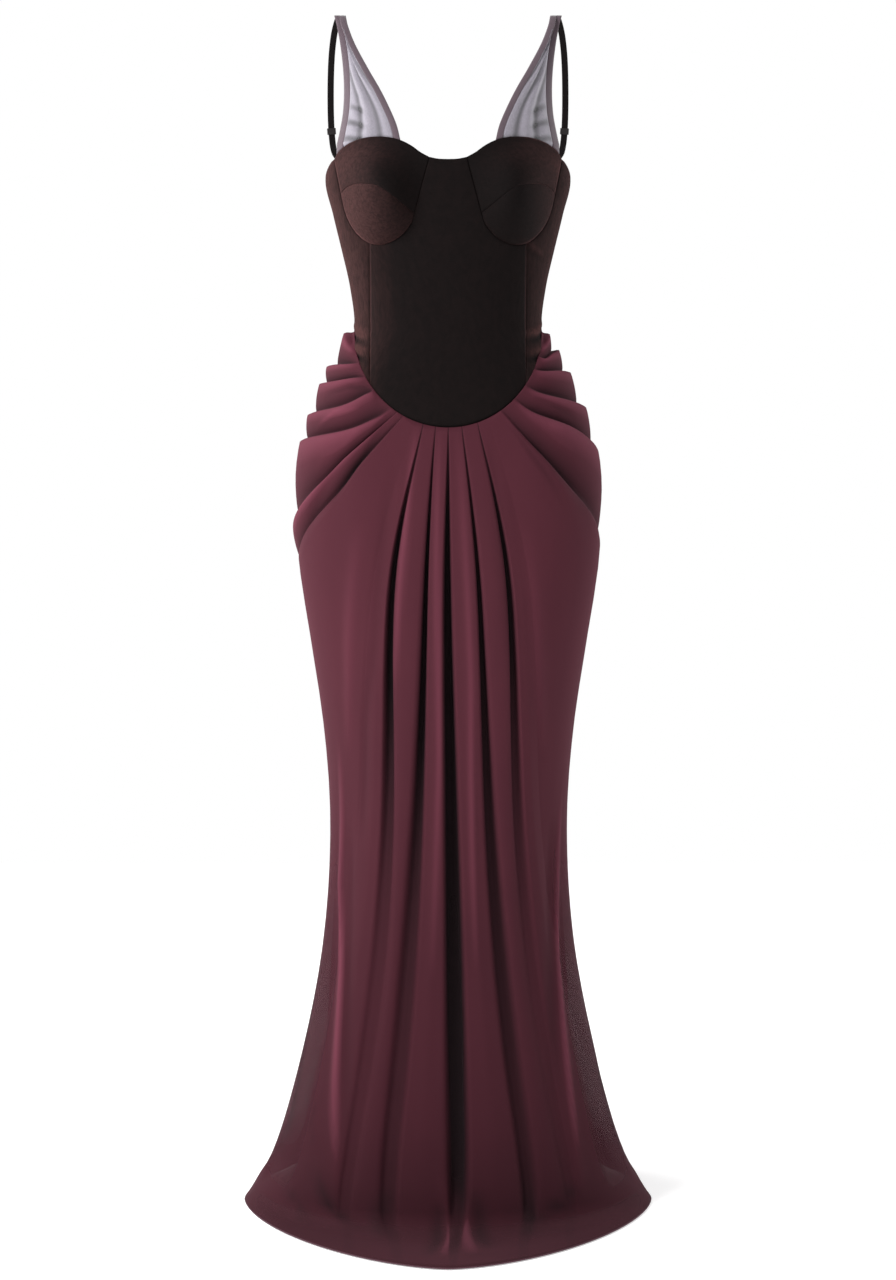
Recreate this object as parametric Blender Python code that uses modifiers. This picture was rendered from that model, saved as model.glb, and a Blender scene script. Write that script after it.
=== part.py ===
"""Bustier maxi dress on a general figure, in metres, +Z up, front towards -Y.

A velvet corset bodice with underwired cups carries a mesh skirt that is pleated at the centre
front and swagged over both hips. The origin lies between the tops of the shoulder straps.
"""
import math
from collections import namedtuple

import bmesh
import bpy
from mathutils import Matrix, Vector

# Driving sizes
SHOULDER_HEIGHT = 1.420
WAIST_HEIGHT = 1.058
WAIST_HALF_WIDTH = 0.1110
SEAM_DROP = 0.118
UNDERARM_HEIGHT = 1.2306
HEM_RUN = -0.130
CLOTH_WALL = 0.0020
BINDING_WALL = 0.0012
LINING_WALL = 0.0010
SEAM_GAP = 0.0004
BUST_DEPTH = 0.034
BINDING_WIDTH = 0.0066
ELASTIC_WIDTH = 0.0076
ELASTIC_WALL = 0.0012

# The figure that fills the dress: run is measured down the cloth, and below the floor break
# it goes on outwards along the floor. Heights are above the floor.
Section = namedtuple("Section", "run middle_height side_height half_width front back roundness")
FIGURE = (
    Section(1.2900, 1.2900, 1.2900, 0.1340, 0.098, 0.082, 2.2),
    Section(1.2306, 1.2306, 1.2306, 0.1448, 0.103, 0.093, 2.2),
    Section(1.1900, 1.1900, 1.1900, 0.1360, 0.099, 0.090, 2.2),
    Section(1.1500, 1.1500, 1.1500, 0.1265, 0.092, 0.086, 2.2),
    Section(1.1050, 1.1050, 1.1050, 0.1163, 0.087, 0.083, 2.2),
    Section(WAIST_HEIGHT, WAIST_HEIGHT, WAIST_HEIGHT, WAIST_HALF_WIDTH, 0.085, 0.084, 2.2),
    Section(1.0400, 1.0400, 1.0400, 0.1165, 0.087, 0.090, 2.2),
    Section(1.0000, 1.0000, 1.0000, 0.1370, 0.092, 0.103, 2.2),
    Section(0.9500, 0.9500, 0.9500, 0.1575, 0.097, 0.115, 2.2),
    Section(0.9000, 0.9000, 0.9000, 0.1715, 0.099, 0.121, 2.2),
    Section(0.8500, 0.8500, 0.8500, 0.1768, 0.100, 0.122, 2.2),
    Section(0.7800, 0.7800, 0.7800, 0.1750, 0.100, 0.116, 2.2),
    Section(0.6850, 0.6850, 0.6850, 0.1612, 0.098, 0.104, 2.2),
    Section(0.5880, 0.5880, 0.5880, 0.1472, 0.096, 0.097, 2.2),
    Section(0.4900, 0.4900, 0.4900, 0.1398, 0.095, 0.096, 2.2),
    Section(0.3930, 0.3930, 0.3930, 0.1420, 0.097, 0.104, 2.2),
    Section(0.2950, 0.2950, 0.2950, 0.1528, 0.101, 0.122, 2.2),
    Section(0.1965, 0.1965, 0.1965, 0.1727, 0.107, 0.148, 2.2),
    Section(0.0970, 0.0970, 0.0970, 0.1993, 0.117, 0.182, 2.2),
    Section(0.0470, 0.0470, 0.0480, 0.2175, 0.126, 0.207, 2.1),
    Section(0.0120, 0.0140, 0.0260, 0.2320, 0.140, 0.228, 2.0),
    Section(-0.0300, 0.0024, 0.0150, 0.2390, 0.176, 0.253, 1.8),
    Section(-0.1000, 0.0014, 0.0050, 0.2455, 0.242, 0.290, 1.65),
    Section(HEM_RUN, 0.0014, 0.0014, 0.2481, 0.270, 0.305, 1.6),
)

# The lining is a slim tube: it leaves the figure above the knee and stops above the floor.
LINING_LOWER = (
    Section(0.4900, 0.4900, 0.4900, 0.1352, 0.0905, 0.0915, 2.2),
    Section(0.3900, 0.3900, 0.3900, 0.1370, 0.0925, 0.0950, 2.2),
    Section(0.2500, 0.2500, 0.2500, 0.1460, 0.0980, 0.1030, 2.2),
    Section(0.1000, 0.1000, 0.1000, 0.1530, 0.1080, 0.1180, 2.2),
    Section(0.0100, 0.0100, 0.0140, 0.1640, 0.1200, 0.1340, 2.2),
)

LINING_CLEARANCE = 0.0036
LINING_DROP = 0.0015
# Share of the way from the lining's top edge to its first level row, and clearance there
LINING_UPPER_ROWS = ((0.0, 0.0010), (0.10, 0.0022), (0.26, 0.0030), (0.48, 0.0034), (0.74, 0.0036))
LINING_RUNS = (0.900, 0.850, 0.77, 0.66, 0.55, 0.49, 0.37, 0.22, 0.09, 0.012)
LINING_FRONT_TURNS = (
    -1.0, -0.94, -0.82, -0.68, -0.53, -0.37, -0.19, 0.0, 0.19, 0.37, 0.53, 0.68, 0.82, 0.94, 1.0,
)

# Swags: each starts on the dropped seam at an angle from centre front, crosses the hip through
# two places (x from the centre line, height), and ends on the side seam. Lifts stand off the
# figure, in metres, at those places.
Swag = namedtuple(
    "Swag", "seam_angle upper_x upper_height lower_x lower_height side_height upper_lift lower_lift side_lift"
)
LEFT_SWAGS = (
    Swag(76.0, 0.1112, 1.0312, 0.1142, 1.0395, 1.0470, 0.0050, 0.0100, 0.0110),
    Swag(68.0, 0.1155, 1.0115, 0.1290, 1.0090, 1.0060, 0.0050, 0.0090, 0.0115),
    Swag(59.0, 0.1080, 0.9955, 0.1290, 0.9905, 0.9860, 0.0050, 0.0085, 0.0110),
    Swag(50.0, 0.0920, 0.9770, 0.1240, 0.9610, 0.9495, 0.0050, 0.0085, 0.0105),
    Swag(35.0, 0.0850, 0.9470, 0.1240, 0.9320, 0.9190, 0.0060, 0.0090, 0.0100),
    Swag(31.5, 0.1130, 0.9070, 0.1520, 0.8650, 0.8150, 0.0080, 0.0100, 0.0080),
    Swag(27.0, 0.0960, 0.9010, 0.1340, 0.8530, 0.7750, 0.0070, 0.0060, 0.0030),
)
RIGHT_SWAGS = (
    Swag(76.5, 0.1112, 1.0325, 0.1140, 1.0400, 1.0470, 0.0030, 0.0060, 0.0080),
    Swag(72.0, 0.1120, 1.0180, 0.1195, 1.0230, 1.0265, 0.0050, 0.0080, 0.0100),
    Swag(64.0, 0.1090, 1.0035, 0.1280, 1.0025, 1.0000, 0.0050, 0.0080, 0.0100),
    Swag(53.0, 0.1070, 0.9770, 0.1360, 0.9680, 0.9580, 0.0055, 0.0090, 0.0110),
    Swag(43.0, 0.1000, 0.9540, 0.1420, 0.9360, 0.9060, 0.0060, 0.0090, 0.0100),
    Swag(33.0, 0.1050, 0.9060, 0.1460, 0.8570, 0.7900, 0.0090, 0.0090, 0.0050),
)
# Share of the way from one swag's ridge to the next, and share of the ridge's lift there
SWAG_PROFILE = ((0.0, 1.0), (0.36, 0.76), (0.68, 0.38), (0.87, 0.06))

# Pleat grooves from the bottom of the seam to the hem: angle on the seam, then centre, width
# and depth at the upper thigh and at the shin, and the place of the hem as a share of a
# quarter turn. Positive is to the right of the centre line.
Groove = namedtuple(
    "Groove", "seam_angle upper_x lower_x hem_turn upper_width lower_width upper_depth lower_depth"
)
GROOVES = (
    Groove(-14.9, -0.0655, -0.0780, -0.36, 0.011, 0.020, 0.0110, 0.0040),
    Groove(-7.4, -0.0270, -0.0450, -0.20, 0.009, 0.022, 0.0115, 0.0080),
    Groove(0.2, 0.0000, 0.0075, 0.03, 0.013, 0.025, 0.0140, 0.0150),
    Groove(8.2, 0.0380, 0.0610, 0.28, 0.009, 0.021, 0.0095, 0.0090),
    Groove(17.8, 0.0720, 0.0940, 0.44, 0.010, 0.018, 0.0090, 0.0030),
)
GROOVE_ENTRY_WIDTH = 0.0016
GROOVE_PROFILE = ((-0.5, 0.0), (-0.16, 1.0), (0.16, 1.0), (0.5, 0.0))
UPPER_RUN = 0.70
LOWER_RUN = 0.30
PLEAT_LIFTS = (0.0008, 0.0135, 0.0150, 0.0130)
CROWN_LIFTS = (0.0008, 0.0160, 0.0180, 0.0140)

# Plain lines between the last swag and the first groove
Plain = namedtuple("Plain", "seam_angle upper_x lower_x hem_turn lifts")
CORNER_LIFTS = (0.0008, 0.0105, 0.0060, 0.0)
FLANK_LIFTS = (0.0008, 0.0125, 0.0130, 0.0080)
LEFT_PLAINS = (Plain(20.5, 0.0900, 0.1270, 1.0, CORNER_LIFTS), Plain(17.8, 0.0790, 0.1020, 0.62, FLANK_LIFTS))
RIGHT_PLAINS = (Plain(24.5, 0.0960, 0.1300, 1.0, CORNER_LIFTS), Plain(21.0, 0.0860, 0.1150, 0.64, FLANK_LIFTS))
FAN_SIDE_RUNS = (0.68, 0.57, 0.46, 0.36, 0.26, 0.17, 0.09, 0.035, 0.005, -0.050)
FRONT_ROW_STEPS = (
    0.0, 0.035, 0.09, 0.155, 0.23, 0.32, 0.42, 0.52, 0.62,
    0.71, 0.79, 0.85, 0.90, 0.938, 0.970, 1.0,
)
SEAM_TURN_ANGLE = 83.0
TOP_LINE_SHARE = 0.5
TOP_LINE_ANGLE = 81.2
FLOOR_FADE_TOP = 0.055
FLOOR_FADE_END = -0.015

# Cup outlines on the left half, as (x from the centre line, height)
NECKLINE = (
    (0.1336, 1.2515), (0.1270, 1.2600), (0.1160, 1.2672), (0.1000, 1.2722), (0.0835, 1.2735),
    (0.0680, 1.2722), (0.0540, 1.2683), (0.0420, 1.2620), (0.0310, 1.2540), (0.0210, 1.2486),
)
CROSS_SEAM = (
    (0.1252, 1.2105), (0.1180, 1.2160), (0.1080, 1.2184), (0.0970, 1.2175), (0.0822, 1.2150),
    (0.0714, 1.2092), (0.0608, 1.2015), (0.0480, 1.1920), (0.0385, 1.1850),
)
UNDERWIRE = (
    (0.1252, 1.2105), (0.1210, 1.1910), (0.1128, 1.1725), (0.1009, 1.1585), (0.0890, 1.1517),
    (0.0769, 1.1501), (0.0655, 1.1535), (0.0543, 1.1600), (0.0430, 1.1730), (0.0385, 1.1850),
)
NECK_CENTRE_HEIGHT = 1.2462
CUP_COLUMNS = 12
CUP_ROWS = 5
PRINCESS_STEP = 6
SIDE_FRONT_SHARES = (0.0, 0.08, 0.20, 0.34, 0.53, 0.77, 1.0)
CENTRE_ROWS = 7
WIRE_END_SHARE = 0.45

# Back top edge: quarter turns from centre front, and height
BACK_EDGE = ((1.0, UNDERARM_HEIGHT), (1.12, 1.2420), (1.27, 1.2560), (1.45, 1.2520), (1.70, 1.2440), (2.0, 1.2400))
STRAP_TURN = 1.27
BACK_TURNS = (1.0, 1.05, 1.15, 1.28, 1.42, 1.56, 1.70, 1.84, 1.94, 2.0)
SWAG_FADE_TURN = 1.62
BACK_FOLD_TURNS = (1.46, 1.82)
BACK_FOLD_WIDTH = 0.15
BACK_FOLD_LIFT = 0.012

# Front strap edges, as (height, x of the outer edge, x of the inner edge)
STRAP_EDGES = (
    (1.4225, 0.1338, 0.1202),
    (1.4090, 0.1305, 0.1172),
    (1.3860, 0.1264, 0.1085),
    (1.3550, 0.1229, 0.0925),
    (1.3290, 0.1219, 0.0780),
    (1.3050, 0.1231, 0.0665),
    (1.2860, 0.1262, 0.0588),
    (1.2680, 0.1300, 0.0545),
)
# How far forward the strap lies, as shares of its rise and of its foot's reach
STRAP_LEAN = ((0.0, 1.0), (0.30, 0.76), (0.60, 0.47), (0.85, 0.20), (0.96, 0.07), (1.0, 0.0))
STRAP_TOP_HEIGHT = 1.4225
INSET_TOP_HEIGHT = 1.3850
STRAP_GAP = 0.0010
# Back elastic's centre line from the shoulder down: x, y, height
ELASTIC_PATH = (
    (0.1270, 0.0012, 1.4222),
    (0.1305, 0.0110, 1.4180),
    (0.1352, 0.0230, 1.4020),
    (0.1388, 0.0370, 1.3750),
    (0.1405, 0.0500, 1.3350),
    (0.1400, 0.0580, 1.2950),
    (0.1370, 0.0590, 1.2700),
)
SLIDER_STEP = 15
SLIDER_SIZE = (0.0104, 0.0034, 0.0075)
SLIDER_SLOT = (0.0084, 0.0019)

# Zip at centre back
ZIP_TAPE_WIDTH = 0.024
ZIP_TAPE_WALL = 0.0010
ZIP_TAPE_CLEARANCE = 0.0014
ZIP_TOP_HEIGHT = 1.2360
ZIP_END_HEIGHT = 0.9300
SLIDER_HEIGHT = 1.2290
ZIP_BASE = (0.0062, 0.0012, 0.0100)
EAR_SIZE = (0.0009, 0.0030, 0.0026)
EAR_SPREAD = 0.0026
PIVOT_LIFT = 0.0027
PULL_WIDTH = 0.0034
PULL_WALL = 0.0010
PULL_LENGTH = 0.0210
BARREL_RADIUS = 0.0008

Finish = namedtuple("Finish", "name colour roughness metallic")
VELVET = Finish("silk_velvet", (0.020, 0.012, 0.013), 0.85, 0.0)
MESH = Finish("burgundy_mesh", (0.110, 0.024, 0.042), 0.80, 0.0)
LINING = Finish("burgundy_lining", (0.070, 0.014, 0.024), 0.70, 0.0)
SHEER = Finish("mauve_mesh", (0.360, 0.320, 0.420), 0.75, 0.0)
BINDING = Finish("mauve_binding", (0.180, 0.110, 0.130), 0.75, 0.0)
ELASTIC = Finish("black_elastic", (0.020, 0.018, 0.018), 0.65, 0.0)
ZIP_METAL = Finish("black_enamelled_zinc", (0.025, 0.020, 0.022), 0.35, 0.6)
ZIP_TAPE = Finish("zip_tape", (0.030, 0.018, 0.022), 0.80, 0.0)


def smooth_steps(knots, at):
    """Value at a place on a smooth curve through (place, value) knots."""
    knots = sorted(knots)
    at = min(max(at, knots[0][0]), knots[-1][0])
    index = 0
    while index < len(knots) - 2 and at > knots[index + 1][0]:
        index += 1

    def slope(i):
        low = max(i - 1, 0)
        high = min(i + 1, len(knots) - 1)
        return (knots[high][1] - knots[low][1]) / (knots[high][0] - knots[low][0])

    (start, first), (end, last) = knots[index], knots[index + 1]
    span = end - start
    t = (at - start) / span
    return (
        first * (2 * t**3 - 3 * t**2 + 1)
        + slope(index) * span * (t**3 - 2 * t**2 + t)
        + last * (3 * t**2 - 2 * t**3)
        + slope(index + 1) * span * (t**3 - t**2)
    )


def fade(at, start, end):
    """0 before start, 1 after end, and a soft step between them."""
    t = min(max((at - start) / (end - start), 0.0), 1.0)
    return t * t * (3 - 2 * t)


def blend(first, second, share):
    """Place between two tuples of numbers."""
    return tuple(a + (b - a) * share for a, b in zip(first, second))


def evenly_along(points, count):
    """Count + 1 places at even distances along a smooth curve through 2-D or 3-D points."""
    vectors = [Vector(point) for point in points]
    lengths = [0.0]
    for before, after in zip(vectors, vectors[1:]):
        lengths.append(lengths[-1] + (after - before).length)
    axes = [[(length, vector[axis]) for length, vector in zip(lengths, vectors)] for axis in range(len(points[0]))]
    return [
        tuple(smooth_steps(axis, lengths[-1] * step / count) for axis in axes)
        for step in range(count + 1)
    ]


def section_at(sections, run):
    """All the columns of a section table at one run."""
    return Section(run, *(
        smooth_steps([(section.run, section[column]) for section in sections], run)
        for column in range(1, len(Section._fields))
    ))


def signed_power(value, power):
    return math.copysign(abs(value) ** power, value)


def figure_point(turn, run, sections=FIGURE):
    """Point of the figure; turn 0 is centre front, 1 and -1 the side seams, 2 centre back."""
    section = section_at(sections, run)
    angle = turn * math.pi / 2
    power = 2 / section.roundness
    depth = section.front if math.cos(angle) > 0 else section.back
    x = section.half_width * signed_power(math.sin(angle), power)
    y = -depth * signed_power(math.cos(angle), power)
    rise = math.sin(angle) ** 4
    height = section.middle_height + (section.side_height - section.middle_height) * rise
    return Vector((x, y, height - SHOULDER_HEIGHT))


def cloth_point(turn, run, lift=0.0, sections=FIGURE):
    """Point that stands off the figure by a lift, square to it."""
    step = 0.004
    across = figure_point(turn + step, run, sections) - figure_point(turn - step, run, sections)
    down = figure_point(turn, run - step, sections) - figure_point(turn, run + step, sections)
    return figure_point(turn, run, sections) + down.cross(across).normalized() * lift


def turn_at(x, run):
    """Turn of the figure's front at a distance from the centre line."""
    section = section_at(FIGURE, run)
    share = min(abs(x) / section.half_width, 1.0)
    return math.copysign(math.asin(share ** (section.roundness / 2)) * 2 / math.pi, x)


def dropped_seam(degrees):
    """Turn and height on the dropped seam; 0 is centre front and 90 the side seam."""
    angle = math.radians(degrees)
    height = WAIST_HEIGHT - SEAM_DROP * math.cos(angle)
    return turn_at(WAIST_HALF_WIDTH * math.sin(angle), height), height


def finish_material(finish):
    """Principled material of a finish, made once."""
    material = bpy.data.materials.get(finish.name)
    if material is None:
        material = bpy.data.materials.new(finish.name)
        material.use_nodes = True
        shader = material.node_tree.nodes["Principled BSDF"]
        shader.inputs["Base Color"].default_value = (*finish.colour, 1.0)
        shader.inputs["Roughness"].default_value = finish.roughness
        shader.inputs["Metallic"].default_value = finish.metallic
    return material


def add_part(name, mesh, finish):
    part = bpy.data.objects.new(name, mesh)
    mesh.materials.append(finish_material(finish))
    dress.objects.link(part)
    return part


Place = namedtuple("Place", "turn run lift forward", defaults=(0.0, 0.0))


def stand_point(place, depth=0.0):
    """Point of the cloth's face at a place, or under it by a depth."""
    point = cloth_point(place.turn, place.run, place.lift - depth)
    point.y -= place.forward
    return point


def way_in(corner, along_edge, beside):
    """Direction from an edge in along the cloth; corner is its face and back points."""
    face, back = corner
    out = (face - back).normalized()
    along_edge = along_edge - out * along_edge.dot(out)
    along_edge.normalize()
    way = beside - face
    way -= out * way.dot(out)
    way -= along_edge * way.dot(along_edge)
    return way.normalized()


def wall_rows(places, wall, surface):
    """Face points and back points of a panel, with every edge drawn in by half a seam's gap."""
    face = [[surface(place) for place in row] for row in places]
    back = [[surface(place, wall) for place in row] for row in places]
    last_row, last_column = len(places) - 1, len(places[0]) - 1
    moves = {}
    for r in range(last_row + 1):
        for c in range(last_column + 1):
            corner = (face[r][c], back[r][c])
            beside = face[min(max(r, 1), last_row - 1)][min(max(c, 1), last_column - 1)]
            ways = []
            if c in (0, last_column):
                edge = face[min(r + 1, last_row)][c] - face[max(r - 1, 0)][c]
                ways.append(way_in(corner, edge, beside))
            if r in (0, last_row):
                edge = face[r][min(c + 1, last_column)] - face[r][max(c - 1, 0)]
                ways.append(way_in(corner, edge, beside))
            if ways:
                moves[r, c] = sum(ways, Vector()) * SEAM_GAP / 2 / (1 + ways[0].dot(ways[-1]) * (len(ways) - 1))
    for (r, c), move in moves.items():
        face[r][c] = face[r][c] + move
        back[r][c] = back[r][c] + move
    return face, back


def cloth_panel(name, places, wall, finish, surface=stand_point, mirror=False):
    """Hollow panel lofted through rows of places, top row first: its face, its back and its rims."""
    shape = bmesh.new()
    side = -1 if mirror else 1
    face, back = (
        [[shape.verts.new((point.x * side, point.y, point.z)) for point in row] for row in skin]
        for skin in wall_rows(places, wall, surface)
    )
    for skin in (face, back):
        for upper, lower in zip(skin, skin[1:]):
            for i in range(len(upper) - 1):
                shape.faces.new((upper[i], lower[i], lower[i + 1], upper[i + 1]))
    rims = (
        (face[0], back[0]),
        (face[-1], back[-1]),
        ([row[0] for row in face], [row[0] for row in back]),
        ([row[-1] for row in face], [row[-1] for row in back]),
    )
    for outer, inner in rims:
        for i in range(len(outer) - 1):
            shape.faces.new((outer[i], outer[i + 1], inner[i + 1], inner[i]))
    bmesh.ops.recalc_face_normals(shape, faces=shape.faces)
    mesh = bpy.data.meshes.new(name)
    shape.to_mesh(mesh)
    shape.free()
    mesh.shade_smooth()
    return add_part(name, mesh, finish)


def strip(name, rows, wall, finish):
    """Strap piece through rows of face points, with its thickness turned inwards."""
    shape = bmesh.new()
    grid = [[shape.verts.new(point) for point in row] for row in rows]
    for upper, lower in zip(grid, grid[1:]):
        for i in range(len(upper) - 1):
            shape.faces.new((upper[i], lower[i], lower[i + 1], upper[i + 1]))
    mesh = bpy.data.meshes.new(name)
    shape.to_mesh(mesh)
    shape.free()
    mesh.shade_smooth()
    thickness = add_part(name, mesh, finish).modifiers.new("thickness", "SOLIDIFY")
    thickness.thickness = wall
    thickness.offset = -1.0


def both_panels(name, left_places, wall, finish):
    cloth_panel(name + "_left", left_places, wall, finish)
    cloth_panel(name + "_right", left_places, wall, finish, mirror=True)


def both_strips(name, left_rows, wall, finish):
    strip(name + "_left", left_rows, wall, finish)
    right_rows = [[Vector((-point.x, point.y, point.z)) for point in reversed(row)] for row in left_rows]
    strip(name + "_right", right_rows, wall, finish)


# Bodice
neck_points = evenly_along(NECKLINE, CUP_COLUMNS)
cross_points = evenly_along(CROSS_SEAM, CUP_COLUMNS)
wire_points = evenly_along(UNDERWIRE, CUP_COLUMNS)
wire_points[0] = blend(wire_points[0], wire_points[1], WIRE_END_SHARE)
wire_points[-1] = blend(wire_points[-1], wire_points[-2], WIRE_END_SHARE)
outer_edge = [blend(neck_points[0], cross_points[0], row / CUP_ROWS) for row in range(CUP_ROWS + 1)]
gore_edge = [blend(neck_points[-1], cross_points[-1], row / CUP_ROWS) for row in range(CUP_ROWS + 1)]
princess_x = wire_points[PRINCESS_STEP][0]


def left_front(x, height, forward=0.0):
    """Place of the left front at a point of the pattern, moved forward for the bust."""
    return Place(turn_at(-x, height), height, 0.0, forward)


def seam_height(x):
    """Height of the dropped seam under a place of the pattern."""
    return WAIST_HEIGHT - SEAM_DROP * math.sqrt(1 - (x / WAIST_HALF_WIDTH) ** 2)


def bust(column, away):
    """How far a cup stands forward: full on the cross seam's middle, none at its edges."""
    across = math.sin(math.pi * column / CUP_COLUMNS) ** 1.2
    return BUST_DEPTH * across * away


def make_cups():
    upper = []
    for row in range(CUP_ROWS + 1):
        share = row / CUP_ROWS
        away = math.sin(math.pi / 2 * share) ** 1.25
        edge = [blend(top, low, share) for top, low in zip(neck_points, cross_points)]
        upper.append([left_front(*place, bust(i, away)) for i, place in enumerate(edge)])
    both_panels("cup_upper", upper, CLOTH_WALL, VELVET)

    lower = []
    for row in range(CUP_ROWS + 1):
        share = row / CUP_ROWS
        away = math.cos(math.pi / 2 * share) ** 0.8
        edge = [blend(top, low, share) for top, low in zip(cross_points, wire_points)]
        lower.append([left_front(*place, bust(i, away)) for i, place in enumerate(edge)])
    both_panels("cup_lower", lower, CLOTH_WALL, VELVET)


def make_centre_front():
    half_top = wire_points[PRINCESS_STEP:] + gore_edge[:0:-1] + [neck_points[-1]]
    half_top.append((neck_points[-1][0] / 2, (neck_points[-1][1] + NECK_CENTRE_HEIGHT) / 2 - 0.0008))
    half_top.append((0.0, NECK_CENTRE_HEIGHT))
    rows = []
    for row in range(CENTRE_ROWS + 1):
        left = [left_front(x, top + (seam_height(x) - top) * row / CENTRE_ROWS) for x, top in half_top]
        rows.append(left + [place._replace(turn=-place.turn) for place in reversed(left[:-1])])
    cloth_panel("bodice_centre_front", rows, CLOTH_WALL, VELVET)


def make_side_fronts():
    princess_angle = math.degrees(math.asin(princess_x / WAIST_HALF_WIDTH))
    top = wire_points[PRINCESS_STEP]
    foot = (princess_x, seam_height(princess_x))
    princess = [blend(top, foot, row / CENTRE_ROWS) for row in range(1, CENTRE_ROWS + 1)]
    inner = outer_edge + wire_points[:PRINCESS_STEP + 1] + princess
    rows = []
    last = len(inner) - 1
    for row, (x, height) in enumerate(inner):
        side_height = UNDERARM_HEIGHT + (WAIST_HEIGHT - UNDERARM_HEIGHT) * row / last
        seam = (turn_at(-x, height), height)
        line = []
        for share in SIDE_FRONT_SHARES:
            if row == last:
                turn, at = dropped_seam(-90 + (90 - princess_angle) * share**1.6)
            else:
                turn, at = blend((-1.0, side_height), seam, share)
            line.append(Place(turn, at))
        rows.append(line)
    both_panels("bodice_side_front", rows, CLOTH_WALL, VELVET)


def make_bodice_backs():
    rows = []
    for row in range(9):
        line = []
        for turn in reversed((1.0, 1.05, 1.14, 1.27, 1.42, 1.58, 1.75, 1.92, 2.0)):
            top = smooth_steps(BACK_EDGE, turn)
            line.append(Place(-turn, top + (WAIST_HEIGHT - top) * row / 8))
        rows.append(line)
    both_panels("bodice_back", rows, CLOTH_WALL, VELVET)


# Skirt
Line = namedtuple("Line", "seam_angle places lifts")


def swag_line(swag, side):
    """A swag's ridge from the seam: three places as (turn, run), and the four lifts."""
    places = (
        (turn_at(side * swag.upper_x, swag.upper_height), swag.upper_height),
        (turn_at(side * swag.lower_x, swag.lower_height), swag.lower_height),
        (float(side), swag.side_height),
    )
    return Line(side * swag.seam_angle, places, (PLEAT_LIFTS[0], swag.upper_lift, swag.lower_lift, swag.side_lift))


def falling_line(seam_angle, upper_x, lower_x, hem_turn, lifts):
    """A line from the seam down to the hem."""
    places = (
        (turn_at(upper_x, UPPER_RUN), UPPER_RUN),
        (turn_at(lower_x, LOWER_RUN), LOWER_RUN),
        (hem_turn, HEM_RUN),
    )
    return Line(seam_angle, places, lifts)


def between_lines(first, second, share):
    angle = first.seam_angle + (second.seam_angle - first.seam_angle) * share
    places = tuple(blend(a, b, share) for a, b in zip(first.places, second.places))
    return Line(angle, places, blend(first.lifts, second.lifts, share))


def waist_edge(side):
    """The top edge from the seam's steep end up to the side seam."""
    angles = [90 - (90 - SEAM_TURN_ANGLE) * (1 - step / 3) ** 2 for step in (1, 2, 3)]
    return Line(side * SEAM_TURN_ANGLE, tuple(dropped_seam(side * angle) for angle in angles), (0.0,) * 4)


def side_lines(swags, plains, side):
    """Lines of one hip, from the top edge in to the first pleat."""
    ridges = [swag_line(swag, side) for swag in swags]
    edge = waist_edge(side)
    top = between_lines(edge, ridges[0], TOP_LINE_SHARE)
    lines = [edge, top._replace(seam_angle=side * TOP_LINE_ANGLE, lifts=(0.0,) * 4)]
    for ridge, following in zip(ridges, ridges[1:]):
        for share, height in SWAG_PROFILE:
            line = between_lines(ridge, following, share)
            lines.append(line._replace(lifts=tuple(lift * height for lift in ridge.lifts)))
    last = ridges[-1]
    lines.append(last)
    corner, flank = (
        falling_line(side * plain.seam_angle, side * plain.upper_x, side * plain.lower_x,
                     side * plain.hem_turn, plain.lifts)
        for plain in plains
    )
    start = last.places[-1][1]
    steps = len(FAN_SIDE_RUNS)
    for step, run in enumerate(FAN_SIDE_RUNS, 1):
        share = step / (steps + 1)
        eased = 0.5 * share + 0.5 * (start - run) / (start - HEM_RUN)
        upper = between_lines(last, corner, eased).places[:2]
        lines.append(between_lines(last, corner, share)._replace(places=(*upper, (float(side), run))))
    return lines + [corner, flank]


def pleat_lines():
    """Lines of the pleats at the centre, four for each groove and one on each crown."""
    lines = []
    for groove in GROOVES:
        entry = math.degrees(GROOVE_ENTRY_WIDTH / WAIST_HALF_WIDTH)
        group = []
        for across, depth in GROOVE_PROFILE:
            lifts = (
                PLEAT_LIFTS[0],
                PLEAT_LIFTS[1] - depth * groove.upper_depth,
                PLEAT_LIFTS[2] - depth * groove.lower_depth,
                PLEAT_LIFTS[3] - depth * groove.lower_depth * 0.7,
            )
            hem_turn = groove.hem_turn + across * groove.lower_width * 2.2
            group.append(falling_line(
                groove.seam_angle + across * entry,
                groove.upper_x + across * groove.upper_width,
                groove.lower_x + across * groove.lower_width,
                hem_turn,
                lifts,
            ))
        if lines:
            crown = between_lines(lines[-1], group[0], 0.5)
            lines.append(crown._replace(lifts=blend(crown.lifts, CROWN_LIFTS, 0.6)))
        lines += group
    return lines


def along(line, step):
    """Place at a share of a line's length."""
    thirds = (0.0, 1 / 3, 2 / 3, 1.0)
    places = (dropped_seam(line.seam_angle), *line.places)
    turn = smooth_steps([(at, place[0]) for at, place in zip(thirds, places)], step)
    run = smooth_steps([(at, place[1]) for at, place in zip(thirds, places)], step)
    lift = smooth_steps(list(zip(thirds, line.lifts)), step)
    return Place(turn, run, max(lift, 0.0) * fade(run, FLOOR_FADE_END, FLOOR_FADE_TOP))


def make_skirt_front():
    left = side_lines(LEFT_SWAGS, LEFT_PLAINS, -1)
    right = side_lines(RIGHT_SWAGS, RIGHT_PLAINS, 1)
    lines = left + pleat_lines() + list(reversed(right))
    rows = [[along(line, step) for line in lines] for step in FRONT_ROW_STEPS]
    cloth_panel("skirt_front", rows, CLOTH_WALL, MESH)


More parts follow.
